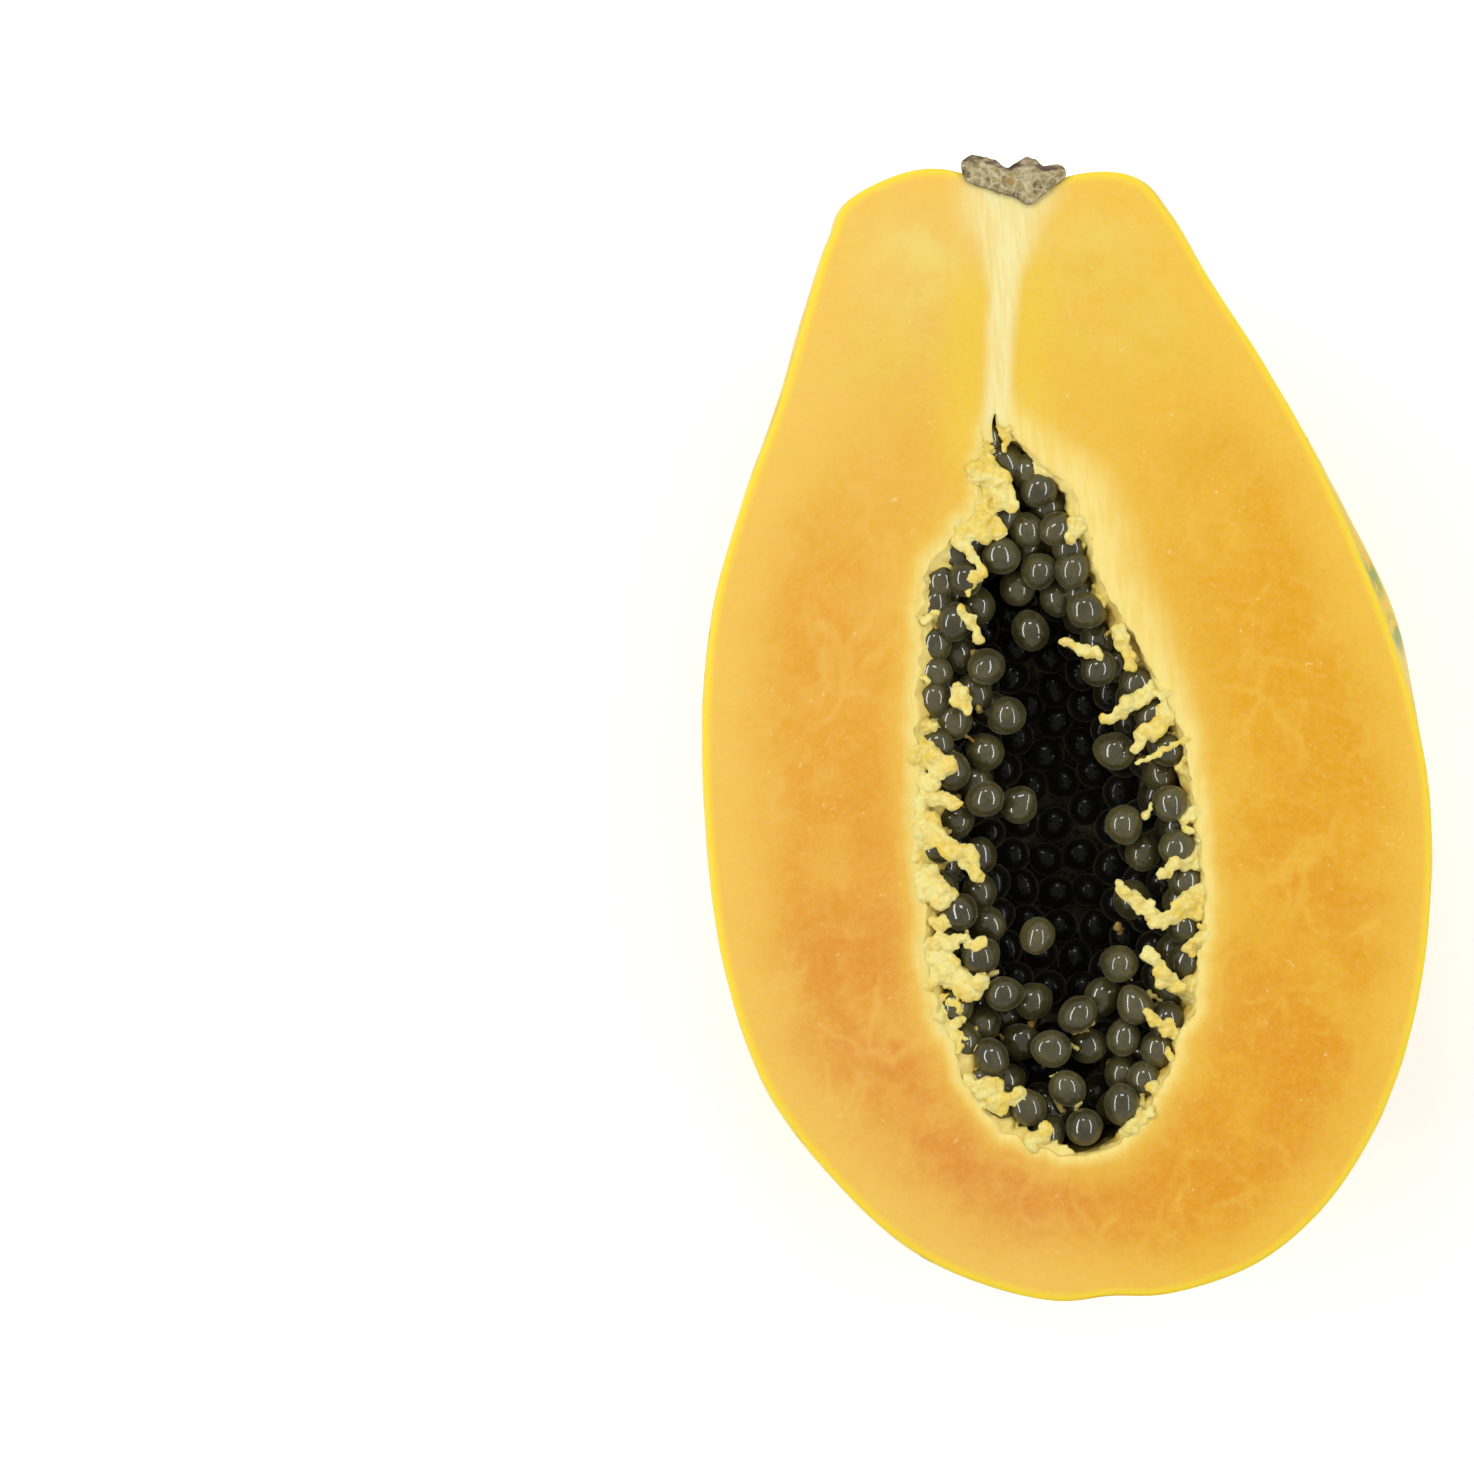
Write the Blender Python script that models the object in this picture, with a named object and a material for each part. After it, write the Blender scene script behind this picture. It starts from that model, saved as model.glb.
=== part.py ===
"""Half a ripe papaya, cut lengthwise and lying on its back with the cut face up.

Metres, +Z up. X runs across the cut face, +Y runs from the blossom end to the stem.
The origin is on the table, under the middle of the half. Inside this file lengths
are millimetres and become metres in one place, when a mesh gets its points.
"Station" is the distance along the fruit's own axis from its blossom end.
"""

import math
from functools import partial

import bmesh
import bpy
import numpy as np
from mathutils import Euler, Matrix, Vector
from mathutils.bvhtree import BVHTree

MM = 0.001
MERGE_DISTANCE = 1e-7  # metres
SHARP_ANGLE = math.radians(40)

# ---------------------------------------------------------------- driving dimensions, mm
LENGTH = 165.5  # blossom end to the shoulders, along the axis
STEM_TOP = 167.8  # station of the stem stub's broken end
FLATTENING = 0.07  # the half is this share shallower than it is wide
CUT_ABOVE_AXIS = 3.0  # the knife went this far beside the fruit's axis
REST_FLAT = 0.7  # how much of the skin is pressed flat where the half rests
GAP = 0.35  # clearance between neighbouring solids

# Outline of the cut face: station, half-width left of the axis, half-width right of it.
OUTLINE = (
    (0.0, 0.0, 0.0),
    (3.0, 15.6, 20.2),
    (9.0, 26.9, 30.2),
    (20.0, 37.7, 39.7),
    (36.0, 47.5, 47.4),
    (54.0, 51.9, 51.6),
    (72.0, 52.7, 52.7),
    (90.0, 51.7, 50.0),
    (106.0, 48.7, 45.4),
    (120.0, 43.5, 40.5),
    (134.0, 37.0, 34.2),
    (147.0, 32.0, 27.4),
    (157.0, 27.8, 22.4),
    (163.0, 22.8, 17.0),
    (LENGTH, 0.0, 0.0),
)
LOBE_HEIGHT = 0.5  # five shallow ribs run the length of a papaya
LOBES = 5
FULL_RADIUS = 20.0  # ribs and creases fade out towards the tips, where the fruit is thinner than this
CREASE_DEPTH = 1.5  # between the ribs, where they gather at the blossom scar
CREASE_REACH = 20.0
CREASE_HALF_ANGLE = math.radians(11)
BLOSSOM_DIMPLE = 1.2
BLOSSOM_DIMPLE_RADIUS = 5.0
STEM_PIT = 4.0  # the hollow in the shoulders that the stem sits in
STEM_PIT_RADIUS = 9.0
SHOULDER_LIFT = 2.1  # the left shoulder stands higher than the right one
SHOULDER_MIDDLE = -10.0
SHOULDER_REACH = 9.0
SHOULDER_TURN = 0.5  # the lift fades over about this much turn, in radians, away from the stem
SIDE_SWELL = 2.9  # the right flank swells out below the cut face
SIDE_SWELL_STATION = 99.0
SIDE_SWELL_REACH = 16.0
SIDE_SWELL_ANGLE = math.radians(70)
SIDE_SWELL_SKEW = 0.55  # below 1, the swell is fullest just under the cut face

# Seed cavity on the cut face: station, left edge, right edge, both measured from the axis.
CAVITY = (
    (22.0, -3.0, -3.0),
    (24.5, -10.5, 5.0),
    (29.0, -15.8, 9.2),
    (38.0, -19.7, 13.8),
    (48.0, -21.7, 17.6),
    (60.0, -21.9, 18.9),
    (72.0, -21.9, 18.4),
    (83.0, -20.7, 16.8),
    (92.0, -20.1, 13.4),
    (101.0, -19.2, 9.0),
    (108.0, -17.6, 6.8),
    (113.0, -13.0, 5.2),
    (118.0, -9.4, 4.2),
    (123.0, -8.0, 0.4),
    (127.0, -7.2, -3.8),
    (130.0, -5.6, -5.6),
)
CAVITY_DEPTH_SHARE = 0.95  # depth below the axis, over the cavity's half-width

# Stem stub: a corky plug with a waisted side, a little wider where it meets the fruit.
STEM_BOTTOM = 159.6
STEM_RADIUS = 7.6
STEM_LOBE = 0.5
STEM_LOBE_TURN = 1.0
STEM_WAIST = 0.9
STEM_END_POWER, STEM_SIDE_POWER = 0.7, 0.45  # below 1, the plug's ends and sides are squarer than a ball's

# Strands of placenta that stand out from the cavity wall: root and tip as (station, across,
# height over the cut face), then the width and the thickness.
STRANDS = (
    ((87.5, 16.5, -3.0), (84.0, 4.8, -2.2), 5.0, 2.6),
    ((79.0, 20.0, -3.4), (77.8, 9.2, -1.6), 3.0, 2.0),
    ((58.0, 20.5, -3.2), (61.5, 6.4, -1.4), 4.6, 2.4),
    ((47.0, 20.0, -4.6), (51.5, 8.4, -3.0), 4.2, 2.4),
    ((64.0, -23.0, -3.4), (63.0, -13.4, -1.6), 4.0, 2.4),
)

# Seeds: an egg of these half-lengths. The top layer lies in a slab just under the cut face.
SEED_HALF_LENGTHS = (2.95, 2.7, 2.6)
SEED_TOP = 1.0  # the highest seeds stand this far proud of the cut face
SEED_LAYER = 4.4  # how much the top layer's seeds differ in height
SEEDS_TRIED = 58
LINING = 1.8  # soft lining that keeps the seeds off the left wall
SEED_SLACK = 0.12  # how much of the gap may be missing between two kept seeds
LOOSE_SEEDS = 56  # the seeds that are solids of their own; the seed bed stands for the rest
SETTLING_STEPS = 300
PACKING_SEED = 11
ICOSPHERE_DETAIL = 2
STRAND_BALLS = 10  # each strand is tested against the seeds as a row of this many balls

# The open cleft down the middle of the seeds: half-lengths of an ellipsoid, and its middle.
CLEFT_HALF_LENGTHS = (4.6, 28.0, 16.0)
CLEFT_MIDDLE = (0.6, 72.0, CUT_ABOVE_AXIS)
CLEFT_CORE = 0.2  # a seed nearer to the middle than this share is pushed no harder

FRUIT_RINGS, FRUIT_SEGMENTS = 34, 56
CAVITY_RINGS, CAVITY_SEGMENTS = 26, 32
BED_RINGS, BED_SEGMENTS = 18, 24
STEM_RINGS, STEM_SEGMENTS = 10, 30


# ---------------------------------------------------------------- the fruit's shape
def smooth_curve(x, knots, values):
    """A smooth curve through the values at the knots, read at x."""
    knots, values = np.asarray(knots, float), np.asarray(values, float)
    slopes = np.gradient(values, knots)
    i = int(np.clip(np.searchsorted(knots, x) - 1, 0, len(knots) - 2))
    gap = knots[i + 1] - knots[i]
    t = (x - knots[i]) / gap
    start = (1 + 2 * t) * (1 - t) ** 2 * values[i] + t * (1 - t) ** 2 * gap * slopes[i]
    end = t * t * (3 - 2 * t) * values[i + 1] + t * t * (t - 1) * gap * slopes[i + 1]
    return float(start + end)


def turn_at(station, first, last):
    """The angle whose cosine runs evenly from end to end, so that round ends stay round."""
    share = (station - first) / (last - first)
    return math.acos(min(1.0, max(-1.0, 1 - 2 * share)))


def station_at(turn, first, last):
    return first + (last - first) * (1 - math.cos(turn)) / 2


def read_outline(table, turn, column):
    first, last = table[0][0], table[-1][0]
    knots = [turn_at(row[0], first, last) for row in table]
    return smooth_curve(turn, knots, [row[column] for row in table])


def bump(x):
    """1 at zero, falling smoothly to nothing by about 2."""
    return math.exp(-x * x)


def skin_point(turn, angle):
    """A point of the whole fruit's skin.

    Turn runs from 0 at the blossom end to pi at the stem, and angle runs round the axis.
    """
    station = station_at(turn, 0.0, LENGTH)
    left, right = (max(0.0, read_outline(OUTLINE, turn, side)) for side in (1, 2))
    radius = left + (right - left) * (1 + math.cos(angle)) / 2
    radius *= 1 - FLATTENING * math.sin(angle) ** 2
    fullness = min(1.0, radius / FULL_RADIUS)
    radius -= LOBE_HEIGHT * fullness * math.sin(LOBES * angle)
    valley = abs(math.sin(LOBES * angle / 2 + math.pi / 4))
    crease = bump(math.asin(valley) * 2 / LOBES / CREASE_HALF_ANGLE)
    radius -= CREASE_DEPTH * fullness * crease * bump(station / CREASE_REACH)
    under = min(1.0, max(0.0, -angle / SIDE_SWELL_ANGLE))
    swell_here = bump((station - SIDE_SWELL_STATION) / SIDE_SWELL_REACH)
    radius += SIDE_SWELL * math.sin(math.pi * under**SIDE_SWELL_SKEW) * swell_here
    across = radius * math.cos(angle)
    if turn < math.pi / 2:
        station += BLOSSOM_DIMPLE * bump(radius / BLOSSOM_DIMPLE_RADIUS)
    else:
        station -= STEM_PIT * bump(radius / STEM_PIT_RADIUS)
        raised = bump((across - SHOULDER_MIDDLE) / SHOULDER_REACH) * bump((turn - math.pi) / SHOULDER_TURN)
        station += SHOULDER_LIFT * raised
    return across, station, radius * math.sin(angle)


def cavity_point(turn, angle):
    station = station_at(turn, CAVITY[0][0], CAVITY[-1][0])
    left, right = (read_outline(CAVITY, turn, side) for side in (1, 2))
    half_width = max(0.0, (right - left) / 2)
    across = (left + right) / 2 + half_width * math.cos(angle)
    return across, station, half_width * CAVITY_DEPTH_SHARE * math.sin(angle)


def stem_point(turn, angle, grown=0.0):
    """The stem stub, or with grown above zero the seat that it leaves in the fruit."""
    middle, half_height = (STEM_TOP + STEM_BOTTOM) / 2, (STEM_TOP - STEM_BOTTOM) / 2 + grown
    blunt = math.copysign(abs(math.cos(turn)) ** STEM_END_POWER, -math.cos(turn))
    radius = STEM_RADIUS + STEM_LOBE * math.cos(LOBES * angle + STEM_LOBE_TURN)
    radius -= STEM_WAIST * math.sin(turn) ** 2
    radius = (radius + grown) * max(0.0, math.sin(turn)) ** STEM_SIDE_POWER
    return radius * math.cos(angle), middle + half_height * blunt, radius * math.sin(angle)


def table_height():
    """Height of the table in the fruit's own frame, where the axis is at zero."""
    lowest = min(skin_point(math.pi * i / 200, -math.pi / 2)[2] for i in range(201))
    return lowest + REST_FLAT


AXIS_HEIGHT = -table_height()
CUT_HEIGHT = AXIS_HEIGHT + CUT_ABOVE_AXIS
MIDDLE_STATION = STEM_TOP / 2


def placed(across, station, height_over_axis):
    """A point of the fruit's own frame, in millimetres, as a point of the model, in metres."""
    return Vector((across, station - MIDDLE_STATION, height_over_axis + AXIS_HEIGHT)) * MM


# ---------------------------------------------------------------- Blender helpers
def fresh_collection(name):
    collection = bpy.data.collections.new(name)
    bpy.context.scene.collection.children.link(collection)
    return collection


def material(name, colour, roughness):
    made = bpy.data.materials.new(name)
    made.use_nodes = True
    shader = made.node_tree.nodes["Principled BSDF"]
    shader.inputs["Base Color"].default_value = (*colour, 1.0)
    shader.inputs["Roughness"].default_value = roughness
    shader.inputs["Metallic"].default_value = 0.0
    return made


def object_from(name, shape, collection, finish=None):
    """Makes the bmesh an object with smooth faces and sharp cut edges."""
    bmesh.ops.recalc_face_normals(shape, faces=shape.faces)
    if shape.calc_volume(signed=True) < 0:
        bmesh.ops.reverse_faces(shape, faces=shape.faces)
    mesh = bpy.data.meshes.new(name)
    shape.to_mesh(mesh)
    shape.free()
    mesh.shade_smooth()
    mesh.set_sharp_from_angle(angle=SHARP_ANGLE)
    made = bpy.data.objects.new(name, mesh)
    collection.objects.link(made)
    if finish:
        mesh.materials.append(finish)
    return made


def shaped_sphere(rings, segments, surface):
    """A UV sphere with its poles along the fruit. The surface function moves its points into place."""
    shape = bmesh.new()
    bmesh.ops.create_uvsphere(shape, u_segments=segments, v_segments=rings, radius=1.0)
    for vertex in shape.verts:
        turn = math.acos(min(1.0, max(-1.0, -vertex.co.z)))
        angle = math.atan2(vertex.co.y, vertex.co.x)
        vertex.co = placed(*surface(turn, angle))
    return shape


def slice_off(shape, height, upwards=True):
    """Cuts the closed shape flat at a height over the table, in millimetres, and closes the cut."""
    normal = Vector((0, 0, 1 if upwards else -1))
    everything = shape.verts[:] + shape.edges[:] + shape.faces[:]
    plane = {"plane_co": Vector((0, 0, height * MM)), "plane_no": normal}
    cut = bmesh.ops.bisect_plane(shape, geom=everything, dist=MERGE_DISTANCE, clear_outer=True, **plane)
    rim = [item for item in cut["geom_cut"] if isinstance(item, bmesh.types.BMEdge)]
    bmesh.ops.contextual_create(shape, geom=rim)


def boolean(target, tool, operation):
    modifier = target.modifiers.new(f"{operation.lower()} {tool.name}", "BOOLEAN")
    modifier.operation = operation
    modifier.object = tool


def make_helper(helper):
    helper.hide_render = True
    helper.display_type = "WIRE"


# ---------------------------------------------------------------- the pieces
def make_fruit_half(parts, cutters, finish):
    """Skin and flesh, grown as one: less the seed cavity and the stem's seat, plus the strands."""
    shape = shaped_sphere(FRUIT_RINGS, FRUIT_SEGMENTS, skin_point)
    slice_off(shape, CUT_HEIGHT)
    slice_off(shape, 0.0, upwards=False)
    fruit = object_from("fruit_half", shape, parts, finish)

    cavity_shape = shaped_sphere(CAVITY_RINGS, CAVITY_SEGMENTS, cavity_point)
    cavity = object_from("cavity_cutter", cavity_shape, cutters)
    seat_shape = shaped_sphere(STEM_RINGS, STEM_SEGMENTS, partial(stem_point, grown=GAP))
    seat = object_from("stem_seat_cutter", seat_shape, cutters)
    for cutter in (cavity, seat):
        make_helper(cutter)
        boolean(fruit, cutter, "DIFFERENCE")
    for number, strand in enumerate(STRANDS, start=1):
        tongue = make_strand(f"strand_{number}", strand, cutters)
        make_helper(tongue)
        boolean(fruit, tongue, "UNION")
    return fruit, cavity


def make_strand(name, strand, collection):
    """A tongue of placenta from its root in the flesh to its tip among the seeds."""
    root, tip, width, thickness = strand
    start, end = (placed(p[1], p[0], p[2] + CUT_ABOVE_AXIS) for p in (root, tip))
    shape = bmesh.new()
    bmesh.ops.create_icosphere(shape, subdivisions=ICOSPHERE_DETAIL, radius=1.0)
    half = Vector(((end - start).length / 2, width / 2 * MM, thickness / 2 * MM))
    turned = (end - start).to_track_quat("X", "Z").to_matrix().to_4x4()
    bmesh.ops.transform(shape, verts=shape.verts, matrix=turned @ Matrix.Diagonal(half).to_4x4())
    bmesh.ops.translate(shape, verts=shape.verts, vec=(start + end) / 2)
    return object_from(name, shape, collection)


def make_stem_stub(parts, finish):
    """The corky plug that is left of the stalk, cut through with the fruit."""
    shape = shaped_sphere(STEM_RINGS, STEM_SEGMENTS, stem_point)
    slice_off(shape, CUT_HEIGHT)
    return object_from("stem_stub", shape, parts, finish)


def make_seed(name, centre, turn, parts, finish):
    shape = bmesh.new()
    bmesh.ops.create_icosphere(shape, subdivisions=ICOSPHERE_DETAIL, radius=1.0)
    sizes = Matrix.Diagonal(Vector(SEED_HALF_LENGTHS) * MM).to_4x4()
    bmesh.ops.transform(shape, verts=shape.verts, matrix=sizes)
    seed = object_from(name, shape, parts, finish)
    seed.location = centre
    seed.rotation_euler = turn
    return seed


def bed_point(turn, angle):
    """The cavity's own shape, drawn in towards its middle line by the gap."""
    left, right = (read_outline(CAVITY, turn, side) for side in (1, 2))
    across, station, height = cavity_point(turn, angle)
    first, last = CAVITY[0][0], CAVITY[-1][0]
    inset = 1 - 2 * GAP / max(4 * GAP, (right - left) / 2)
    shortened = 1 - 3 * GAP / ((last - first) / 2)
    middle, middle_station = (left + right) / 2, (first + last) / 2
    across = middle + (across - middle) * inset
    return across, middle_station + (station - middle_station) * shortened, height * inset


def cleft_point(turn, angle):
    half_across, half_along, depth = CLEFT_HALF_LENGTHS
    across = CLEFT_MIDDLE[0] + half_across * math.sin(turn) * math.cos(angle)
    height = CLEFT_MIDDLE[2] + depth * math.sin(turn) * math.sin(angle)
    return across, CLEFT_MIDDLE[1] - half_along * math.cos(turn), height


def make_seed_bed(parts, cutters, finish):
    """One closed solid of the outer shape of the lower seeds, which lie packed under the loose ones."""
    shape = shaped_sphere(BED_RINGS, BED_SEGMENTS, bed_point)
    top = CUT_HEIGHT + SEED_TOP - 2 * SEED_HALF_LENGTHS[0] - SEED_LAYER - GAP
    slice_off(shape, top)
    bed = object_from("seed_bed", shape, parts, finish)
    cleft = object_from("cleft_cutter", shaped_sphere(BED_RINGS, BED_SEGMENTS, cleft_point), cutters)
    make_helper(cleft)
    boolean(bed, cleft, "DIFFERENCE")


# ---------------------------------------------------------------- where the seeds lie
def strand_obstacles():
    """(points, reaches) of balls that fill the strands, in metres."""
    points, reaches = [], []
    for root, tip, width, _ in STRANDS:
        start, end = (placed(p[1], p[0], p[2] + CUT_ABOVE_AXIS) for p in (root, tip))
        for share in np.linspace(0.05, 0.98, STRAND_BALLS):
            points.append(start.lerp(end, share))
            half_width = width / 2 * math.sqrt(1 - (2 * share - 1) ** 2)
            reaches.append((half_width + SEED_HALF_LENGTHS[0] + GAP) * MM)
    return np.array(points), np.array(reaches)


def push_from_wall(points, wall, clear):
    """Moves each point that is too near to the cavity wall, or outside it, back inside."""
    for i, point in enumerate(points):
        found, normal, _, distance = wall.find_nearest(Vector(point))
        inside = (found - Vector(point)).dot(normal) > 0
        wanted = clear + LINING * MM * max(0.0, -normal.x)
        if not inside or distance < wanted:
            points[i] = found - normal * wanted


def push_apart(points, spacing):
    """Moves every two points that are too close half of the way each."""
    between = points[:, None] - points[None]
    distance = np.sqrt((between**2).sum(-1)) + np.eye(len(points))
    short = np.clip(spacing - distance, 0, None) * (1 - np.eye(len(points)))
    points += (between / distance[..., None] * short[..., None]).sum(1) * 0.5


def push_from_strands(points, obstacles, reaches):
    between = points[:, None] - obstacles[None]
    distance = np.sqrt((between**2).sum(-1))
    short = np.clip(reaches - distance, 0, None)
    nearest = short.argmax(1)
    rows = np.arange(len(points))
    away = between[rows, nearest] / distance[rows, nearest][:, None]
    points += away * short[rows, nearest][:, None]


def push_from_cleft(points, middle, half_lengths):
    """Moves the points that lie in the cleft out to its sides, or to its ends where that is nearer."""
    away = points - middle
    depth = np.sqrt(((away / half_lengths) ** 2).sum(-1))
    grow = np.where(depth < 1, 1 / np.maximum(depth, CLEFT_CORE), 1.0)
    points[:, :2] = (middle + away * grow[:, None])[:, :2]


def settled_seeds(wall):
    """Centres of the top layer's seeds, packed by pushing apart whatever overlaps."""
    draw = np.random.default_rng(PACKING_SEED)
    half = max(SEED_HALF_LENGTHS)
    ceiling = (CUT_HEIGHT + SEED_TOP - half) * MM
    turns = np.arccos(1 - 2 * draw.uniform(0.02, 0.98, SEEDS_TRIED))
    sides = np.arccos(draw.uniform(-1, 1, SEEDS_TRIED))
    points = np.array([placed(*cavity_point(t, a)) for t, a in zip(turns, sides)])
    points[:, 2] = ceiling - draw.uniform(0, SEED_LAYER * MM, SEEDS_TRIED)
    obstacles, reaches = strand_obstacles()
    cleft_half = (np.array(CLEFT_HALF_LENGTHS) + half) * MM
    for _ in range(SETTLING_STEPS):
        push_from_cleft(points, np.array(placed(*CLEFT_MIDDLE)), cleft_half)
        push_from_strands(points, obstacles, reaches)
        push_apart(points, (2 * half + GAP) * MM)
        push_from_wall(points, wall, (half + GAP) * MM)
        points[:, 2] = np.clip(points[:, 2], ceiling - SEED_LAYER * MM, ceiling)
    return points


def loose_seeds(points, wall):
    """Those of the settled seeds that touch nothing, as centres."""
    obstacles, reaches = strand_obstacles()
    half, slack = max(SEED_HALF_LENGTHS) * MM, SEED_SLACK * MM
    kept = []
    for point in points:
        here = Vector(point)
        room = all((here - other).length > 2 * half + GAP * MM - slack for other in kept)
        free = np.sqrt(((obstacles - point) ** 2).sum(-1)) > reaches - slack
        if room and free.all() and wall.find_nearest(here)[3] > half + GAP * MM - slack:
            kept.append(here)
    return kept[:LOOSE_SEEDS]


def main():
    for leftover in list(bpy.data.objects):
        bpy.data.objects.remove(leftover)
    parts, cutters = fresh_collection("papaya_half"), fresh_collection("cutters")
    flesh = material("flesh", colour=(0.83, 0.42, 0.055), roughness=0.45)
    cork = material("cork", colour=(0.30, 0.23, 0.12), roughness=0.9)
    seed_coat = material("seed_coat", colour=(0.045, 0.042, 0.026), roughness=0.2)

    fruit, cavity = make_fruit_half(parts, cutters, flesh)
    make_stem_stub(parts, cork)
    make_seed_bed(parts, cutters, seed_coat)
    corners = [vertex.co for vertex in cavity.data.vertices]
    wall = BVHTree.FromPolygons(corners, [face.vertices for face in cavity.data.polygons])
    turns = np.random.default_rng(PACKING_SEED + 1)
    for number, centre in enumerate(loose_seeds(settled_seeds(wall), wall), start=1):
        make_seed(f"seed_{number:02d}", centre, Euler(turns.uniform(0, math.pi, 3)), parts, seed_coat)


main()
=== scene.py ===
# %% [markdown]
# # Half a papaya, cut lengthwise
#
# This lesson dresses a measured model of a papaya half that lies on its back. The measured
# model has the right size and place for every piece, but its surfaces are plain and coarse.
# Here each piece is made again as fine as the real one looks: a thin yellow skin with flecks,
# moist flesh that runs from yellow to orange, a ragged seed cavity, and the seeds themselves.
#
# The model is loaded first. Its boxes say where everything goes, so nothing has to be fitted.

# %% Load the measured model
import math

import bmesh
import bpy
import numpy as np
from mathutils import Matrix, Vector, noise
from mathutils.bvhtree import BVHTree
from mathutils.kdtree import KDTree


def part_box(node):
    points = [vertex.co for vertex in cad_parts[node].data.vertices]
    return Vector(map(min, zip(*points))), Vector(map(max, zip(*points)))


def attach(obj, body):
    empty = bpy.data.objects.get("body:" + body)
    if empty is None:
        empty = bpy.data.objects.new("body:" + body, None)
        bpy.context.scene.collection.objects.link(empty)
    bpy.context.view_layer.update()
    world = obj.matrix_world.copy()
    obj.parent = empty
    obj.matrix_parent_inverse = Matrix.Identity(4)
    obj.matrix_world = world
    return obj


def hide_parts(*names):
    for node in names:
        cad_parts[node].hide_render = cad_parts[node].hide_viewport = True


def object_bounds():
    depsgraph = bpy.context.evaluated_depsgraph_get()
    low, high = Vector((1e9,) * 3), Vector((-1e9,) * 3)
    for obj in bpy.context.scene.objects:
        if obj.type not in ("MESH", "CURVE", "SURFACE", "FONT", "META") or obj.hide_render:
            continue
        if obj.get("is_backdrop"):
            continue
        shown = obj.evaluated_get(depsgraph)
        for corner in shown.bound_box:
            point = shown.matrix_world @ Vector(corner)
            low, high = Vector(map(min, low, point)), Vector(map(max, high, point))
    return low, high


MM = 0.001
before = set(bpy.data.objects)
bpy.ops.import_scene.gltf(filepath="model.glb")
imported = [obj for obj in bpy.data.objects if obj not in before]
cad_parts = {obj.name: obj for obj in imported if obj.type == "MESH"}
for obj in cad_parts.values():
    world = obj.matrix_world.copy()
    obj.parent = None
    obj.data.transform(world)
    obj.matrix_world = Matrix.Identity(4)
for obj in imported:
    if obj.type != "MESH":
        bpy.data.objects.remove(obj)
model_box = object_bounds()
for leftover in [o for o in bpy.data.objects if o.type in {"CAMERA", "LIGHT"}]:
    bpy.data.objects.remove(leftover)

CUT_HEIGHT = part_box("fruit_half")[1].z / MM
CUT_ABOVE_AXIS = 3.0
AXIS_HEIGHT = CUT_HEIGHT - CUT_ABOVE_AXIS
STEM_TOP = 167.8
BLOSSOM_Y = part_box("stem_stub")[1].y / MM - STEM_TOP
seed_names = sorted(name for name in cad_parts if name.startswith("seed_") and name != "seed_bed")
print(f"cut face {CUT_HEIGHT:.1f} mm over the table, {len(seed_names)} loose seeds")

# %% [markdown]
# ## The camera
#
# A half fruit that lies on its back shows everything from straight above, so that is where the
# camera is. A long lens from more than a metre away keeps the outline undistorted, as a product
# photographer would. The camera is turned a few degrees, so that the stem leans to the left, and it
# stands to the left of the fruit, which puts the fruit in the right half of the picture.

# %% Aim the camera
LENS = 180.0
SENSOR = 36.0
PICTURE_WIDTH = 213.9
CAMERA_TURN = math.radians(-4.87)
CAMERA_OVER = (-46.9, 2.5)

lens = bpy.data.cameras.new("overhead_camera")
lens.lens = LENS
lens.sensor_width = SENSOR
lens.clip_end = 20.0
camera = bpy.data.objects.new("overhead_camera", lens)
bpy.context.scene.collection.objects.link(camera)
camera_height = CUT_HEIGHT + PICTURE_WIDTH * LENS / SENSOR
camera.location = Vector((*CAMERA_OVER, camera_height)) * MM
camera.rotation_euler = (0.0, 0.0, CAMERA_TURN)
bpy.context.scene.camera = camera
print(f"camera {camera_height / 1000:.2f} m up")

# %% [markdown]
# ## A white table and soft light
#
# Cut fruit is photographed on white, with the light coming from everywhere. A white sky gives that
# even light, and it leaves the hollow between the seeds dark, because little of the sky can be seen
# from down there. The deep seeds, placenta and cavity wall are painted darker too, as painted shade.
# Two long strip lights run beside the fruit, one on each side. They give each wet seed two curved
# bright strokes, without shining off the flat cut face into the lens.

# %% Lay the table and hang the lights
SKY_STRENGTH = 0.54
TABLE_GLOW = 0.20


def soft_box(name, place, size, power):
    """A square lamp that faces the fruit."""
    light = bpy.data.lights.new(name, "AREA")
    light.shape = "RECTANGLE"
    light.size, light.size_y = size
    light.energy = power
    lamp = bpy.data.objects.new(name, light)
    bpy.context.scene.collection.objects.link(lamp)
    lamp.location = place
    towards = Vector((0, 0, CUT_HEIGHT * MM)) - lamp.location
    lamp.rotation_euler = towards.to_track_quat("-Z", "Y").to_euler()
    return lamp


sky = bpy.data.worlds.new("white_studio")
bpy.context.scene.world = sky
sky.use_nodes = True
sky.node_tree.nodes["Background"].inputs["Color"].default_value = (1.0, 1.0, 1.0, 1.0)
sky.node_tree.nodes["Background"].inputs["Strength"].default_value = SKY_STRENGTH
bpy.context.scene.view_settings.view_transform = "Standard"

soft_box("left_strip", (-0.62, 0.14, 0.58), (1.20, 0.10), 4.5)
soft_box("right_strip", (0.55, 0.02, 0.62), (1.20, 0.08), 3.2)
soft_box("top_soft_box", (-0.06, 0.62, 0.66), (0.22, 0.14), 1.0)

table_shape = bmesh.new()
bmesh.ops.create_grid(table_shape, x_segments=1, y_segments=1, size=6.0)
table_mesh = bpy.data.meshes.new("table")
table_shape.to_mesh(table_mesh)
table_shape.free()
table = bpy.data.objects.new("table", table_mesh)
bpy.context.scene.collection.objects.link(table)
table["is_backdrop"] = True
print("a table and three lamps")

# %% [markdown]
# ## Small helpers for shader nodes
#
# Every finish below is a tree of nodes. These few helpers keep each finish short: one adds a node
# and fills its sockets, one blends two colours, one turns a value into a soft step.

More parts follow.
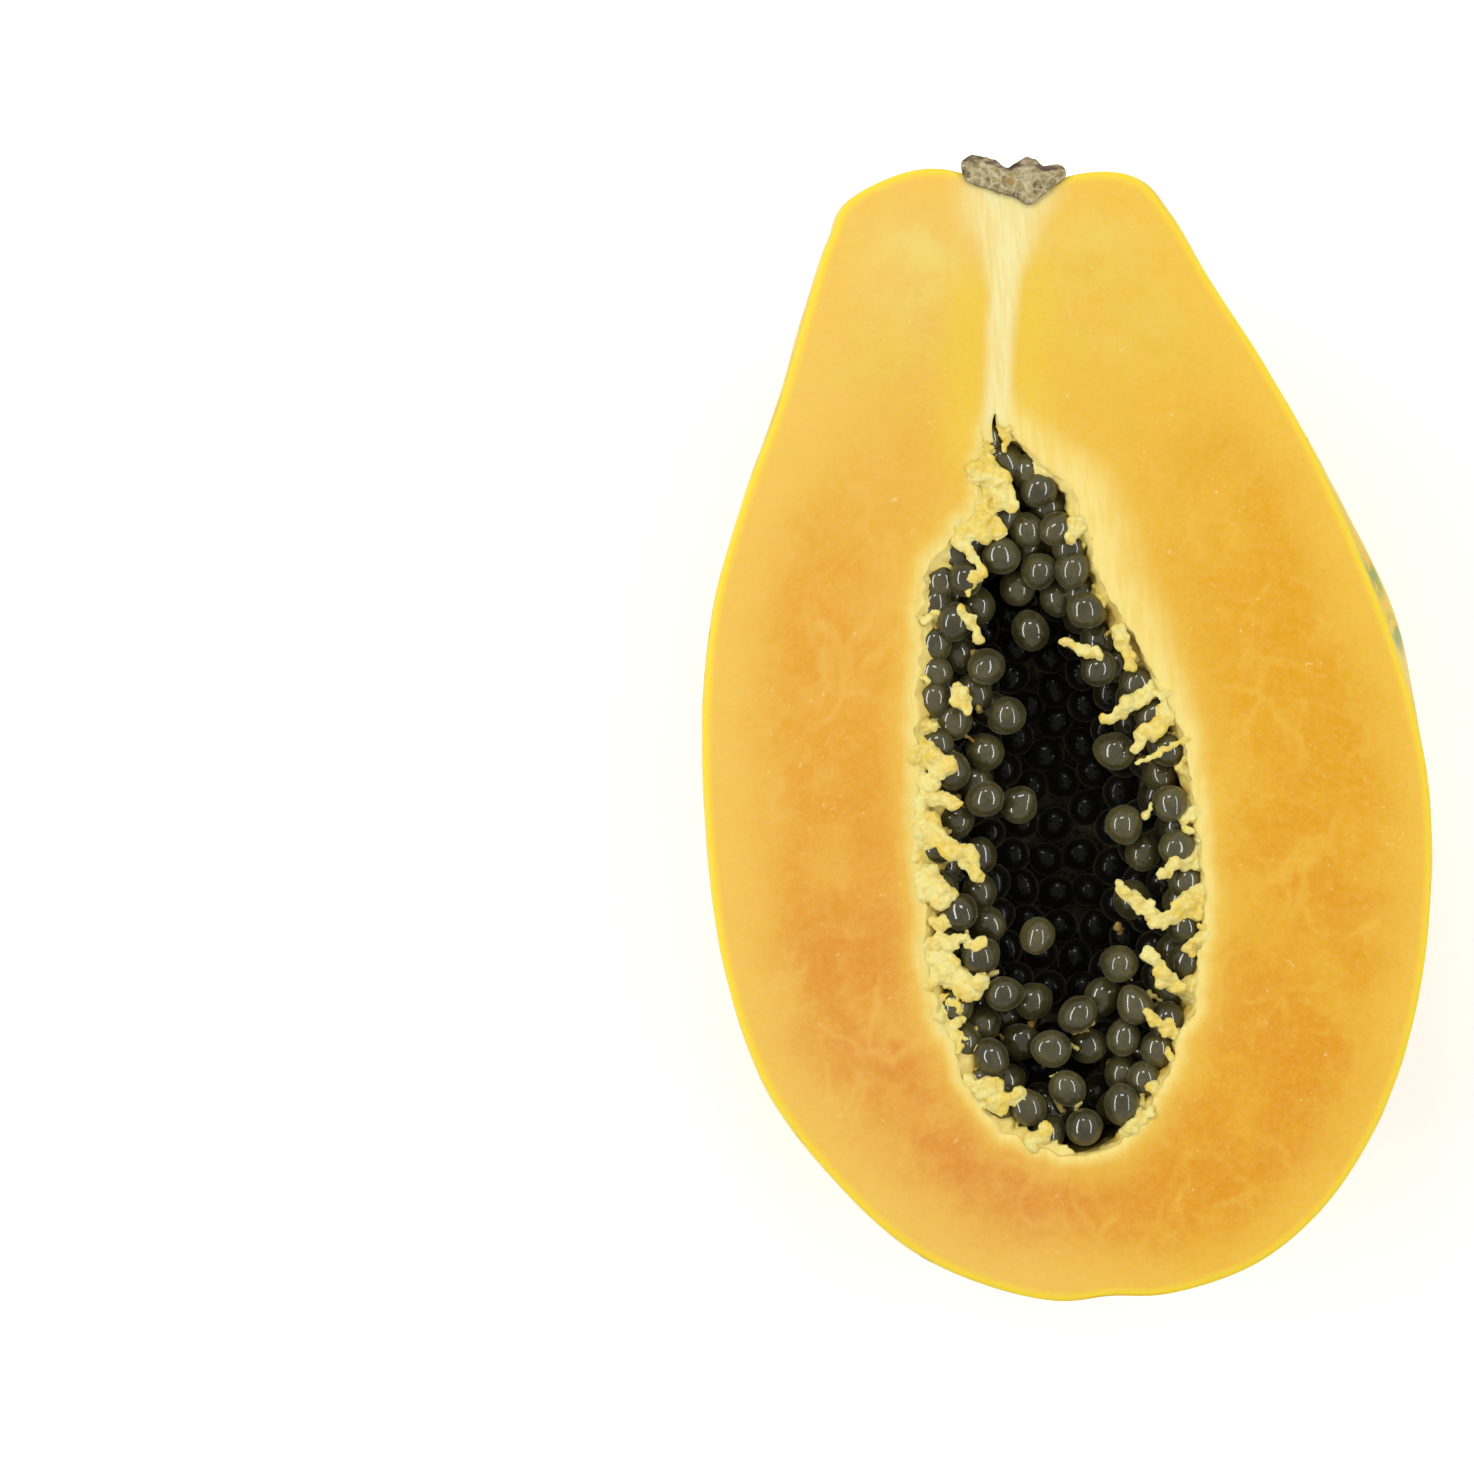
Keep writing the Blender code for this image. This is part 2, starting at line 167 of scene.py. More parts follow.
# %% Helpers for shader nodes


def add_node(tree, kind, inputs=None, **settings):
    """A new node. An input given as a socket is linked, any other value is set."""
    made = tree.nodes.new(kind)
    for name, value in settings.items():
        setattr(made, name, value)
    for key, value in (inputs or {}).items():
        if isinstance(value, bpy.types.NodeSocket):
            tree.links.new(value, made.inputs[key])
        else:
            made.inputs[key].default_value = value
    return made


def blend(tree, amount, under, over, mode="MIX"):
    """The colour over laid on the colour under, by amount."""
    colours = [c if isinstance(c, bpy.types.NodeSocket) else (*c, 1.0) for c in (under, over)]
    inputs = {0: amount, 6: colours[0], 7: colours[1]}
    return add_node(tree, "ShaderNodeMix", inputs, data_type="RGBA", blend_type=mode).outputs[2]


def soft_step(tree, value, low, high, least=0.0, most=1.0):
    """Rises smoothly from least to most while value runs from low to high."""
    inputs = {"Value": value, "From Min": low, "From Max": high, "To Min": least, "To Max": most}
    made = add_node(tree, "ShaderNodeMapRange", inputs, interpolation_type="SMOOTHSTEP")
    return made.outputs["Result"]


def calculate(tree, operation, first, second=0.0):
    return add_node(tree, "ShaderNodeMath", {0: first, 1: second}, operation=operation).outputs[0]


def noise_texture(tree, place, size, detail=3.0, roughness=0.5, distortion=0.0):
    """Soft noise whose blotches are about size millimetres across."""
    inputs = {"Vector": place, "Scale": 1000.0 / size, "Detail": detail}
    inputs.update({"Roughness": roughness, "Distortion": distortion})
    return add_node(tree, "ShaderNodeTexNoise", inputs).outputs["Fac"]


def stretched_place(tree, stretch, turn=0.0):
    """The object's own coordinates, squeezed along each axis."""
    place = add_node(tree, "ShaderNodeTexCoord").outputs["Object"]
    inputs = {"Vector": place, "Rotation": (0.0, 0.0, turn), "Scale": stretch}
    return add_node(tree, "ShaderNodeMapping", inputs).outputs["Vector"]


def attribute(tree, name):
    return add_node(tree, "ShaderNodeAttribute", attribute_name=name).outputs["Fac"]


def new_finish(name):
    """(material, its node tree, its Principled shader)."""
    made = bpy.data.materials.new(name)
    made.use_nodes = True
    return made, made.node_tree, made.node_tree.nodes["Principled BSDF"]


table_finish, _, table_shader = new_finish("white_table")
table_shader.inputs["Base Color"].default_value = (0.93, 0.93, 0.93, 1.0)
table_shader.inputs["Roughness"].default_value = 0.9
table_shader.inputs["Emission Color"].default_value = (0.85, 0.93, 1.0, 1.0)
table_shader.inputs["Emission Strength"].default_value = TABLE_GLOW
table_shader.inputs["Specular IOR Level"].default_value = 0.1
table_mesh.materials.append(table_finish)

# %% [markdown]
# ## A grain that every part of the fruit shares
#
# Flesh, skin, pulp and cork all have a fine grain of cells. It is one node group with two sockets
# to set: the size of the grain, and how strongly it shows. It gives a mask to tint the colour with
# and a height to raise the surface with.

# %% Make the shared grain


def make_grain_group():
    group = bpy.data.node_groups.new("cell grain", "ShaderNodeTree")
    for name, value in (("Grain Size", 1.0), ("Amount", 1.0)):
        socket = group.interface.new_socket(name, in_out="INPUT", socket_type="NodeSocketFloat")
        socket.default_value = value
    for name in ("Mask", "Height"):
        group.interface.new_socket(name, in_out="OUTPUT", socket_type="NodeSocketFloat")
    inside = add_node(group, "NodeGroupInput")
    place = add_node(group, "ShaderNodeTexCoord").outputs["Object"]
    scale = calculate(group, "DIVIDE", 1000.0, inside.outputs["Grain Size"])
    cloud_inputs = {"Vector": place, "Scale": scale, "Detail": 4.0, "Roughness": 0.65}
    cloud = add_node(group, "ShaderNodeTexNoise", cloud_inputs).outputs["Fac"]
    cells = add_node(group, "ShaderNodeTexVoronoi", {"Vector": place, "Scale": scale}).outputs["Distance"]
    raised = calculate(group, "SUBTRACT", cloud, calculate(group, "MULTIPLY", cells, 0.35))
    mask = soft_step(group, cloud, 0.38, 0.66)
    outputs = {
        "Mask": calculate(group, "MULTIPLY", mask, inside.outputs["Amount"]),
        "Height": calculate(group, "MULTIPLY", raised, inside.outputs["Amount"]),
    }
    add_node(group, "NodeGroupOutput", outputs)
    return group


cell_grain = make_grain_group()


def grain(tree, size, amount):
    made = add_node(tree, "ShaderNodeGroup", node_tree=cell_grain)
    made.inputs["Grain Size"].default_value = size
    made.inputs["Amount"].default_value = amount
    return made.outputs["Mask"], made.outputs["Height"]


print("grain group:", [item.name for item in cell_grain.interface.items_tree])

# %% [markdown]
# ## The outline of the fruit
#
# A papaya is close to a turned shape, so its form is a list of half-widths along its own axis, one
# for each side, joined by a smooth curve. The seed cavity has such a list too. The curve is read
# against an angle that runs from one tip to the other, not against the length itself, because then
# the blunt round ends come out round.

# %% Describe the outline
LENGTH = 165.5
OUTLINE = (
    (0.0, 0.0, 0.0),
    (3.0, 15.6, 20.2),
    (9.0, 26.9, 30.2),
    (20.0, 37.7, 39.7),
    (36.0, 47.5, 47.4),
    (54.0, 51.9, 51.6),
    (72.0, 52.7, 52.7),
    (90.0, 51.7, 50.0),
    (106.0, 48.7, 45.4),
    (120.0, 43.5, 40.5),
    (134.0, 37.0, 34.2),
    (147.0, 32.0, 27.4),
    (157.0, 27.8, 22.4),
    (163.0, 22.8, 17.0),
    (LENGTH, 0.0, 0.0),
)
CAVITY = (
    (22.0, -3.0, -3.0),
    (24.5, -10.5, 5.0),
    (29.0, -15.8, 9.2),
    (38.0, -19.7, 13.8),
    (48.0, -21.7, 17.6),
    (60.0, -21.9, 18.9),
    (72.0, -21.9, 18.4),
    (83.0, -20.7, 16.8),
    (92.0, -20.1, 13.4),
    (101.0, -19.2, 9.0),
    (108.0, -17.6, 6.8),
    (113.0, -13.0, 5.2),
    (118.0, -9.4, 4.2),
    (123.0, -8.0, 0.4),
    (127.0, -7.2, -3.8),
    (130.0, -5.6, -5.6),
)
CAVITY_DEPTH_SHARE = 0.95


def smooth_curve(x, knots, values):
    """A smooth curve through the values at the knots, read at every x."""
    slopes = np.gradient(values, knots)
    i = np.clip(np.searchsorted(knots, x) - 1, 0, len(knots) - 2)
    gap = knots[i + 1] - knots[i]
    t = (x - knots[i]) / gap
    start = (1 + 2 * t) * (1 - t) ** 2 * values[i] + t * (1 - t) ** 2 * gap * slopes[i]
    end = t * t * (3 - 2 * t) * values[i + 1] + t * t * (t - 1) * gap * slopes[i + 1]
    return start + end


def station_at(turn, first, last):
    return first + (last - first) * (1 - np.cos(turn)) / 2


def turn_at(station, first, last):
    return np.arccos(np.clip(1 - 2 * (station - first) / (last - first), -1, 1))


def read_outline(table_rows, turn, column):
    stations = np.array([row[0] for row in table_rows])
    knots = turn_at(stations, stations[0], stations[-1])
    return smooth_curve(turn, knots, np.array([row[column] for row in table_rows]))


def bump_curve(x):
    """1 at zero, falling smoothly to nothing by about 2."""
    return np.exp(-x * x)


def placed(points):
    """Rows of (across, station, height over the axis) in millimetres, as the model's metres."""
    return (points + np.array([0.0, BLOSSOM_Y, AXIS_HEIGHT])) * MM


def rough(points, size, seed=0.0):
    """Noise from -1 to 1 at each point, with lumps about size millimetres across."""
    shift = Vector((seed * 17.3, seed * 5.1, seed * 9.7))
    return np.array([noise.noise(Vector(point) / size + shift) for point in points])


print("widest", max(row[1] + row[2] for row in OUTLINE), "mm")

# %% [markdown]
# ## Skin, cut face and cavity wall in one surface
#
# The real half is one body: the skin turns into the cut face at a crisp edge, and the cut face
# turns into the cavity wall. Three meshes with open edges would leave cracks, so it is one mesh.
#
# It starts as a ball. The lower half is kept, and its open rim is extruded inwards ring by ring,
# first across the cut face and then down the cavity wall. Every point remembers three numbers: how
# far it lies from the blossom end, how far round, and on which ring. A formula then puts it in place.

# %% Grow the rings from half a ball
RINGS = 330
SEGMENTS_ROUND = 96
FACE_SHARES = np.concatenate(([0.007, 0.018, 0.036], np.linspace(0.06, 0.955, 34), [0.975, 0.99, 1.0]))
WALL_RINGS = 34
WALL_CROWDING = 1.35


def half_ball(rings, segments):
    """The lower half of a ball that lies on its side, with two angles stored at every point."""
    shape = bmesh.new()
    turn = shape.verts.layers.float.new("turn")
    side = shape.verts.layers.float.new("side")
    shape.verts.layers.float.new("ring")
    bmesh.ops.create_uvsphere(shape, u_segments=2 * segments, v_segments=rings, radius=1.0)
    upper = [vertex for vertex in shape.verts if vertex.co.y > 1e-4]
    bmesh.ops.delete(shape, geom=upper, context="VERTS")
    for vertex in shape.verts:
        vertex[turn] = math.acos(max(-1.0, min(1.0, -vertex.co.z)))
        reach = max(1e-9, math.hypot(vertex.co.x, vertex.co.y))
        vertex[side] = -math.acos(max(-1.0, min(1.0, vertex.co.x / reach)))
    return shape


def grow_rings(shape, count):
    """Extrudes the open rim count times, and numbers the new rings."""
    ring = shape.verts.layers.float["ring"]
    rim = [edge for edge in shape.edges if edge.is_boundary]
    for number in range(1, count + 1):
        grown = bmesh.ops.extrude_edge_only(shape, edges=rim)["geom"]
        fresh = {item for item in grown if isinstance(item, bmesh.types.BMVert)}
        for vertex in fresh:
            vertex[ring] = number
        edges = [item for item in grown if isinstance(item, bmesh.types.BMEdge)]
        rim = [edge for edge in edges if edge.verts[0] in fresh and edge.verts[1] in fresh]


def read_layers(shape):
    """(turn, side, ring) of every point, as arrays."""
    names = ("turn", "side", "ring")
    layers = [shape.verts.layers.float[name] for name in names]
    return [np.array([vertex[layer] for vertex in shape.verts]) for layer in layers]


fruit = half_ball(RINGS, SEGMENTS_ROUND)
grow_rings(fruit, len(FACE_SHARES) + WALL_RINGS)
print(f"{len(fruit.verts)} points, {len(fruit.faces)} faces")

# %% [markdown]
# ## The skin's own form
#
# Five shallow ribs run along a papaya. At the blossom end they gather round the scar of the flower,
# with a crease between each two. At the stem end the shoulders sink into a small pit. On the right
# flank the fruit swells a little beyond the cut. All of that is added to the plain outline here, and
# the lowest stretch is pressed flat on the table.

# %% Place the skin
FLATTENING = 0.07
LOBES = 5
LOBE_HEIGHT = 0.5
CREASE_DEPTH = 1.5
CREASE_REACH = 20.0
CREASE_HALF_ANGLE = math.radians(8)
BLOSSOM_DIMPLE = 1.4
BLOSSOM_DIMPLE_RADIUS = 5.0
STEM_PIT = 4.0
STEM_PIT_RADIUS = 9.0
SHOULDER_LIFT = 2.1
SHOULDER_MIDDLE = -12.0
SHOULDER_REACH = 11.5
SHOULDER_TURN = 0.5
SIDE_SWELL = 2.9
SIDE_SWELL_STATION = 99.0
SIDE_SWELL_REACH = 16.0
SIDE_SWELL_ANGLE = math.radians(70)
SIDE_SWELL_SKEW = 0.55
POLE_LIFT_RADIUS = 8.0


def crease_share(polar, station):
    """1 in the bottom of a crease between two ribs at the blossom end, 0 away from it."""
    valley = np.arcsin(np.abs(np.sin(LOBES * polar / 2 + math.pi / 4))) * 2 / LOBES
    return bump_curve(valley / CREASE_HALF_ANGLE) * bump_curve(station / CREASE_REACH)


def skin_place(turn, side):
    """(points, crease share) of the skin. The rim, where side is 0 or -pi, lies in the cut plane."""
    left = np.maximum(read_outline(OUTLINE, turn, 1), 0)
    right = np.maximum(read_outline(OUTLINE, turn, 2), 0)
    lift = CUT_ABOVE_AXIS * bump_curve(np.minimum(left, right) / POLE_LIFT_RADIUS)
    reach = np.where(side < -math.pi / 2, left, right)
    over = np.arcsin(np.clip((CUT_ABOVE_AXIS - lift) / np.maximum(reach, 0.5), 0, 0.9))
    polar = -math.pi / 2 + (side + math.pi / 2) * (1 + 2 * over / math.pi)
    station = station_at(turn, 0.0, LENGTH)
    radius = left + (right - left) * (1 + np.cos(polar)) / 2
    radius *= 1 - FLATTENING * np.sin(polar) ** 2
    fullness = np.minimum(1, radius / 20)
    creased = crease_share(polar, station)
    radius -= fullness * (LOBE_HEIGHT * np.sin(LOBES * polar) + CREASE_DEPTH * creased)
    under = np.clip(-polar / SIDE_SWELL_ANGLE, 0, 1) ** SIDE_SWELL_SKEW
    swell_here = bump_curve((station - SIDE_SWELL_STATION) / SIDE_SWELL_REACH)
    radius += SIDE_SWELL * np.sin(math.pi * under) * swell_here
    across, height = radius * np.cos(polar), radius * np.sin(polar) + lift
    from_axis = np.hypot(across, height)
    station = station + BLOSSOM_DIMPLE * bump_curve(from_axis / BLOSSOM_DIMPLE_RADIUS) * (turn < math.pi / 2)
    shoulder = bump_curve((across - SHOULDER_MIDDLE) / SHOULDER_REACH)
    shoulder *= bump_curve((turn - math.pi) / SHOULDER_TURN)
    stem_end = SHOULDER_LIFT * shoulder - STEM_PIT * bump_curve(from_axis / STEM_PIT_RADIUS)
    station = station + stem_end * (turn > math.pi / 2)
    points = np.stack((across, station, height), axis=1)
    on_rim = (side > -1e-3) | (side < 1e-3 - math.pi)
    waves = 0.28 * rough(points, 22.0) + 0.10 * rough(points, 7.0, 1.0)
    inwards = points / np.maximum(from_axis, 1.0)[:, None] * np.array([1, 0, 1])
    points += inwards * np.where(on_rim, 0, waves)[:, None]
    points[on_rim, 2] = CUT_ABOVE_AXIS
    points[:, 2] = np.maximum(points[:, 2], -AXIS_HEIGHT)
    return points, creased


turns, sides, rings = read_layers(fruit)
skin_points, creases = skin_place(turns, sides)
print("skin from", skin_points.min(0).round(1), "to", skin_points.max(0).round(1))

# %% [markdown]
# ## The ragged cavity
#
# The cavity of a papaya isn't a clean bowl. Its wall is lined with soft placenta that tears when
# the fruit is cut, so the rim is ragged and the wall is lumpy. Noise of three sizes pushes the rim
# in and out and swells the wall. It fades towards the line where both sides meet, so that the last
# ring closes without a gap.

# %% Place the cut face and the cavity wall
RAGGED = ((0.75, 6.5), (0.55, 2.8), (0.40, 1.3))
FACE_WAVE = 0.12
LINING_BULGE = 3.4
CLUMP_SIZE = 3.4
MIDDLE_STATION = (CAVITY[0][0] + CAVITY[-1][0]) / 2
HALF_CAVITY = (CAVITY[-1][0] - CAVITY[0][0]) / 2


def cavity_rim(turn, side):
    """Points on the cavity's edge in the cut plane, before they are made ragged."""
    left, right = read_outline(CAVITY, turn, 1), read_outline(CAVITY, turn, 2)
    across = np.where(side < -math.pi / 2, left, np.maximum(left, right))
    station = station_at(turn, CAVITY[0][0], CAVITY[-1][0])
    return np.stack((across, station, np.full_like(across, CUT_ABOVE_AXIS)), axis=1)


def smooth_rise(value, low, high):
    share = np.clip((value - low) / (high - low), 0, 1)
    return share * share * (3 - 2 * share)


def lining_push(points, turn, side, down):
    """How far the soft lining swells into the cavity: most on the left, where it is thickest, in clumps."""
    amount = np.where(side < -math.pi / 2, 1.0, 0.30) * np.abs(np.sin(turn)) ** 0.5
    clumps = 0.75 + 0.9 * rough(points, CLUMP_SIZE, 11.0) + 0.4 * rough(points, CLUMP_SIZE / 3, 12.0)
    below_rim = smooth_rise(down, 0.0, 0.10) * (1 - smooth_rise(down, 0.20, 0.55))
    return LINING_BULGE * amount * np.clip(clumps, 0, None) * below_rim


def wall_place(turn, side, down):
    """Points on the cavity wall. down runs from 0 at the rim to 1 on the cavity's floor."""
    rim, other = cavity_rim(turn, side), cavity_rim(turn, -math.pi - side)
    middle, half_width = (rim + other)[:, 0] / 2, np.abs(rim - other)[:, 0] / 2
    angle = down * math.pi / 2
    outwards = np.sign(rim[:, 0] - middle)
    across = middle + outwards * half_width * np.cos(angle)
    height = CUT_ABOVE_AXIS - (CAVITY_DEPTH_SHARE * half_width + CUT_ABOVE_AXIS) * np.sin(angle)
    points = np.stack((across, rim[:, 1], height), axis=1)
    rags = sum(size * rough(points, scale, scale) for size, scale in RAGGED)
    push = np.minimum(rags + lining_push(points, turn, side, down), 0.6 * half_width)
    to_middle = 0.6 * (MIDDLE_STATION - rim[:, 1]) / HALF_CAVITY * np.cos(angle)
    inwards = np.stack((-outwards * np.cos(angle), to_middle, np.sin(angle)), axis=1)
    return points + inwards * push[:, None]


FACE_RINGS = len(FACE_SHARES)
face_share = np.interp(rings, np.arange(FACE_RINGS + 1), np.concatenate(([0.0], FACE_SHARES)))
down = np.clip((rings - FACE_RINGS) / WALL_RINGS, 0, 1) ** WALL_CROWDING
inner = wall_place(turns, sides, down)
on_face = (rings > 0) & (rings <= FACE_RINGS)
on_wall = rings > FACE_RINGS
rim_inner = wall_place(turns, sides, np.zeros_like(down))
rim_inner[:, 2] = CUT_ABOVE_AXIS
face_points = skin_points + (rim_inner - skin_points) * face_share[:, None]
waves = FACE_WAVE * rough(face_points, 14.0, 3.0) * np.clip(face_share * 12, 0, 1) - 0.06
edge_drop = 0.30 * bump_curve(face_share / 0.009) + 0.35 * bump_curve((1 - face_share) / 0.02)
face_points[:, 2] = CUT_ABOVE_AXIS + waves - edge_drop
points = np.where(on_face[:, None], face_points, np.where(on_wall[:, None], inner, skin_points))
points[(rings == 0) & ((sides > -1e-3) | (sides < 1e-3 - math.pi)), 2] -= 0.45
print(f"cut face {on_face.sum()} points, cavity wall {on_wall.sum()} points")

# %% [markdown]
# ## Numbers that the flesh's colour follows
#
# Ripe flesh isn't one orange. It is yellow just under the skin, deepest in the middle of its
# thickness, and pale where it meets the seeds. A pale core runs from the stem to the cavity. The
# distances to the skin and to the cavity are measured at every point and stored on the mesh, where
# the finish can read them. The finish then follows the real fruit, whatever its outline.

# %% Measure and store the distances
CORE_FOOT = (-5.4, 130.0)
CORE_SLANT = 0.14


def distance_to(points, targets):
    tree = KDTree(len(targets))
    for i, target in enumerate(targets):
        tree.insert(Vector((target[0], target[1], 0.0)), i)
    tree.balance()
    return np.array([tree.find(Vector((p[0], p[1], 0.0)))[2] for p in points])


def pale_core(points):
    """1 on the pale core between stem and cavity, 0 away from it."""
    middle = CORE_FOOT[0] + CORE_SLANT * (points[:, 1] - CORE_FOOT[1])
    width = 1.9 + 4.4 * np.clip((points[:, 1] - 146) / 14, 0, 1) ** 1.6
    wander = 0.5 * rough(points, 6.0, 21.0)
    off_middle = np.abs(points[:, 0] - middle + wander) / width
    return (1 - smooth_rise(off_middle, 0.30, 1.60)) * np.clip((points[:, 1] - 122) / 8, 0, 1)


def core_side(points):
    """1 on the deep yellow bands that run beside the pale core, 0 away from them."""
    middle = CORE_FOOT[0] + CORE_SLANT * (points[:, 1] - CORE_FOOT[1])
    off_middle = np.abs(points[:, 0] - middle) - 4.5
    along = smooth_rise(points[:, 1], 116, 128) * (1 - smooth_rise(points[:, 1], 144, 156))
    return 0.75 * bump_curve(off_middle / 4.0) * along


skin_rim = skin_points[(rings == 0) & ((sides > -1e-3) | (sides < 1e-3 - math.pi))]
seed_rim = rim_inner[rings == FACE_RINGS]
from_skin = np.where(on_face, distance_to(points, skin_rim), np.where(on_wall, 30.0, 0.0))
from_seeds = np.where(on_face, distance_to(points, seed_rim), np.where(on_wall, 0.0, 30.0))
right_side = sides > -math.pi / 2
high_right = np.where(right_side, bump_curve((points[:, 1] - 110) / 24), 0.0)
halo_width = np.where(right_side, 3.6 + 5.0 * high_right, 3.0)
paleness = np.exp(-((from_seeds / halo_width) ** 1.5))
border = 1 - smooth_rise(from_seeds, 0.9 * high_right, 2.4 + 6.6 * high_right)
depth_in_cavity = np.where(on_wall, CUT_ABOVE_AXIS - points[:, 2], 0.0)

fruit_values = {
    "from_skin": from_skin,
    "from_seeds": from_seeds,
    "paleness": paleness,
    "border": border,
    "pale_core": np.where(on_face, pale_core(points), 0.0),
    "core_side": np.where(on_face, core_side(points), 0.0),
    "cavity_depth": depth_in_cavity,
    "crease": np.where(rings == 0, creases, 0.0),
}
print("flesh is up to", from_skin[on_face].max().round(1), "mm from the skin")

# %% Make the fruit's mesh


def write_points(shape, places):
    for vertex, place in zip(shape.verts, placed(places)):
        vertex.co = place


def store_values(shape, values):
    for name, numbers in values.items():
        layer = shape.verts.layers.float.new(name)
        for vertex, number in zip(shape.verts, numbers):
            vertex[layer] = float(number)


def piece_from(name, shape, finishes, node=None):
    """Makes the bmesh a smooth piece of the fruit. It stands for a node of the model, if one is named."""
    mesh = bpy.data.meshes.new(name)
    shape.to_mesh(mesh)
    shape.free()
    mesh.shade_smooth()
    for finish in finishes:
        mesh.materials.append(finish)
    piece = bpy.data.objects.new(name, mesh)
    bpy.context.scene.collection.objects.link(piece)
    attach(piece, "root")
    if node:
        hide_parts(node)
    return piece


def point_faces_out(shape):
    bmesh.ops.recalc_face_normals(shape, faces=shape.faces)
    if shape.calc_volume(signed=True) < 0:
        bmesh.ops.reverse_faces(shape, faces=shape.faces)


store_values(fruit, fruit_values)
write_points(fruit, points)
ring_of = fruit.verts.layers.float["ring"]
for face in fruit.faces:
    face.material_index = int(max(vertex[ring_of] for vertex in face.verts) > 0)
bmesh.ops.remove_doubles(fruit, verts=fruit.verts, dist=0.002 * MM)
point_faces_out(fruit)
open_edges = sum(edge.is_boundary for edge in fruit.edges)
print(f"fruit: {len(fruit.faces)} faces, {open_edges} open edges")

# %% [markdown]
# ## The flesh's finish
#
# One coloured paint would make the cut face look like plastic. Real flesh is a stack of things: a
# broad change from yellow shoulders to a deep orange lower end, a lighter layer under the skin, the
# pale border round the seeds, pale strings that branch through the middle, a fine grain of wet cells,
# and some light that comes back from below the surface. Each is one step here, laid on the last.

# %% Mix the flesh's ground colour
# Each pair is the colour on the left half of the cut face, then the colour on the right half.
PALE_FLESH = (0.740, 0.590, 0.155), (0.735, 0.575, 0.130)
YELLOW_FLESH = (0.715, 0.470, 0.062), (0.710, 0.455, 0.046)
ORANGE_FLESH = (0.680, 0.318, 0.022), (0.670, 0.322, 0.004)
SALMON_FLESH = (0.635, 0.240, 0.026), (0.660, 0.280, 0.008)
MOTTLE = (0.712, 0.388, 0.056), (0.712, 0.392, 0.022)
VEIN = (0.735, 0.440, 0.085), (0.735, 0.440, 0.050)
UNDER_SKIN = (0.755, 0.480, 0.080), (0.750, 0.465, 0.050)
FIBRE = (0.790, 0.600, 0.270)


def centred_noise(tree, place, size, reach, detail=3.0):
    """Noise from about -reach to reach, to add to a length."""
    made = calculate(tree, "MULTIPLY_ADD", noise_texture(tree, place, size, detail), 4.0 * reach)
    made.node.inputs[2].default_value = -2.0 * reach
    return made


def side_blend(tree, side, pair):
    return blend(tree, side, pair[0], pair[1])


def flesh_veins(tree, size, reach, seed_turn):
    """Soft pale veins that branch, as the edges of a net of large bent cells, broken up by noise."""
    place = stretched_place(tree, (1.0, 0.75, 1.0), math.radians(seed_turn))
    bend = add_node(tree, "ShaderNodeTexNoise", {"Vector": place, "Scale": 1000.0 / size, "Detail": 3.0})
    pushed = add_node(tree, "ShaderNodeVectorMath", {0: bend.outputs["Color"]}, operation="SCALE")
    pushed.inputs["Scale"].default_value = 1.3 * size * MM
    shifted = add_node(tree, "ShaderNodeVectorMath", {0: place, 1: pushed.outputs["Vector"]}, operation="ADD")
    net_inputs = {"Vector": shifted.outputs["Vector"], "Scale": 1000.0 / size}
    net = add_node(tree, "ShaderNodeTexVoronoi", net_inputs, feature="DISTANCE_TO_EDGE")
    line = soft_step(tree, net.outputs["Distance"], 0.0, reach, 1.0, 0.0)
    broken = soft_step(tree, noise_texture(tree, place, 0.9 * size, 3.0), 0.46, 0.62)
    return calculate(tree, "MULTIPLY", line, broken)


def flesh_ground(tree, place, side):
    """Yellow at the stem, orange in the middle and salmon at the blossom end, with cloudy borders."""
    along = add_node(tree, "ShaderNodeSeparateXYZ", {0: place}).outputs["Y"]
    drifted = calculate(tree, "ADD", along, centred_noise(tree, place, 24.0, 0.012))
    pale, yellow, orange, salmon = (
        side_blend(tree, side, pair) for pair in (PALE_FLESH, YELLOW_FLESH, ORANGE_FLESH, SALMON_FLESH)
    )
    colour = blend(tree, soft_step(tree, drifted, 0.014, 0.058), orange, yellow)
    colour = blend(tree, soft_step(tree, drifted, 0.050, 0.078), colour, pale)
    return blend(tree, soft_step(tree, drifted, 0.002, -0.052), colour, salmon)


# %% Lay the flesh's layers over each other
SKIN_EDGE = (0.800, 0.610, 0.020)
PALE_HALO = (0.745, 0.500, 0.070)
BORDER_CREAM = (0.800, 0.650, 0.210)
CORE_CREAM = (0.770, 0.695, 0.330)
CORE_YELLOW = (0.735, 0.505, 0.035)
WALL_GOLD = (0.620, 0.400, 0.055)
WALL_CREAM = (0.780, 0.610, 0.160)
# The last two are painted shade: the colours of the shaded pockets and of the dark depths of the cavity wall.
PAINTED_PIT_SHADE = (0.280, 0.085, 0.008)
PAINTED_DEEP_SHADE = (0.030, 0.016, 0.006)


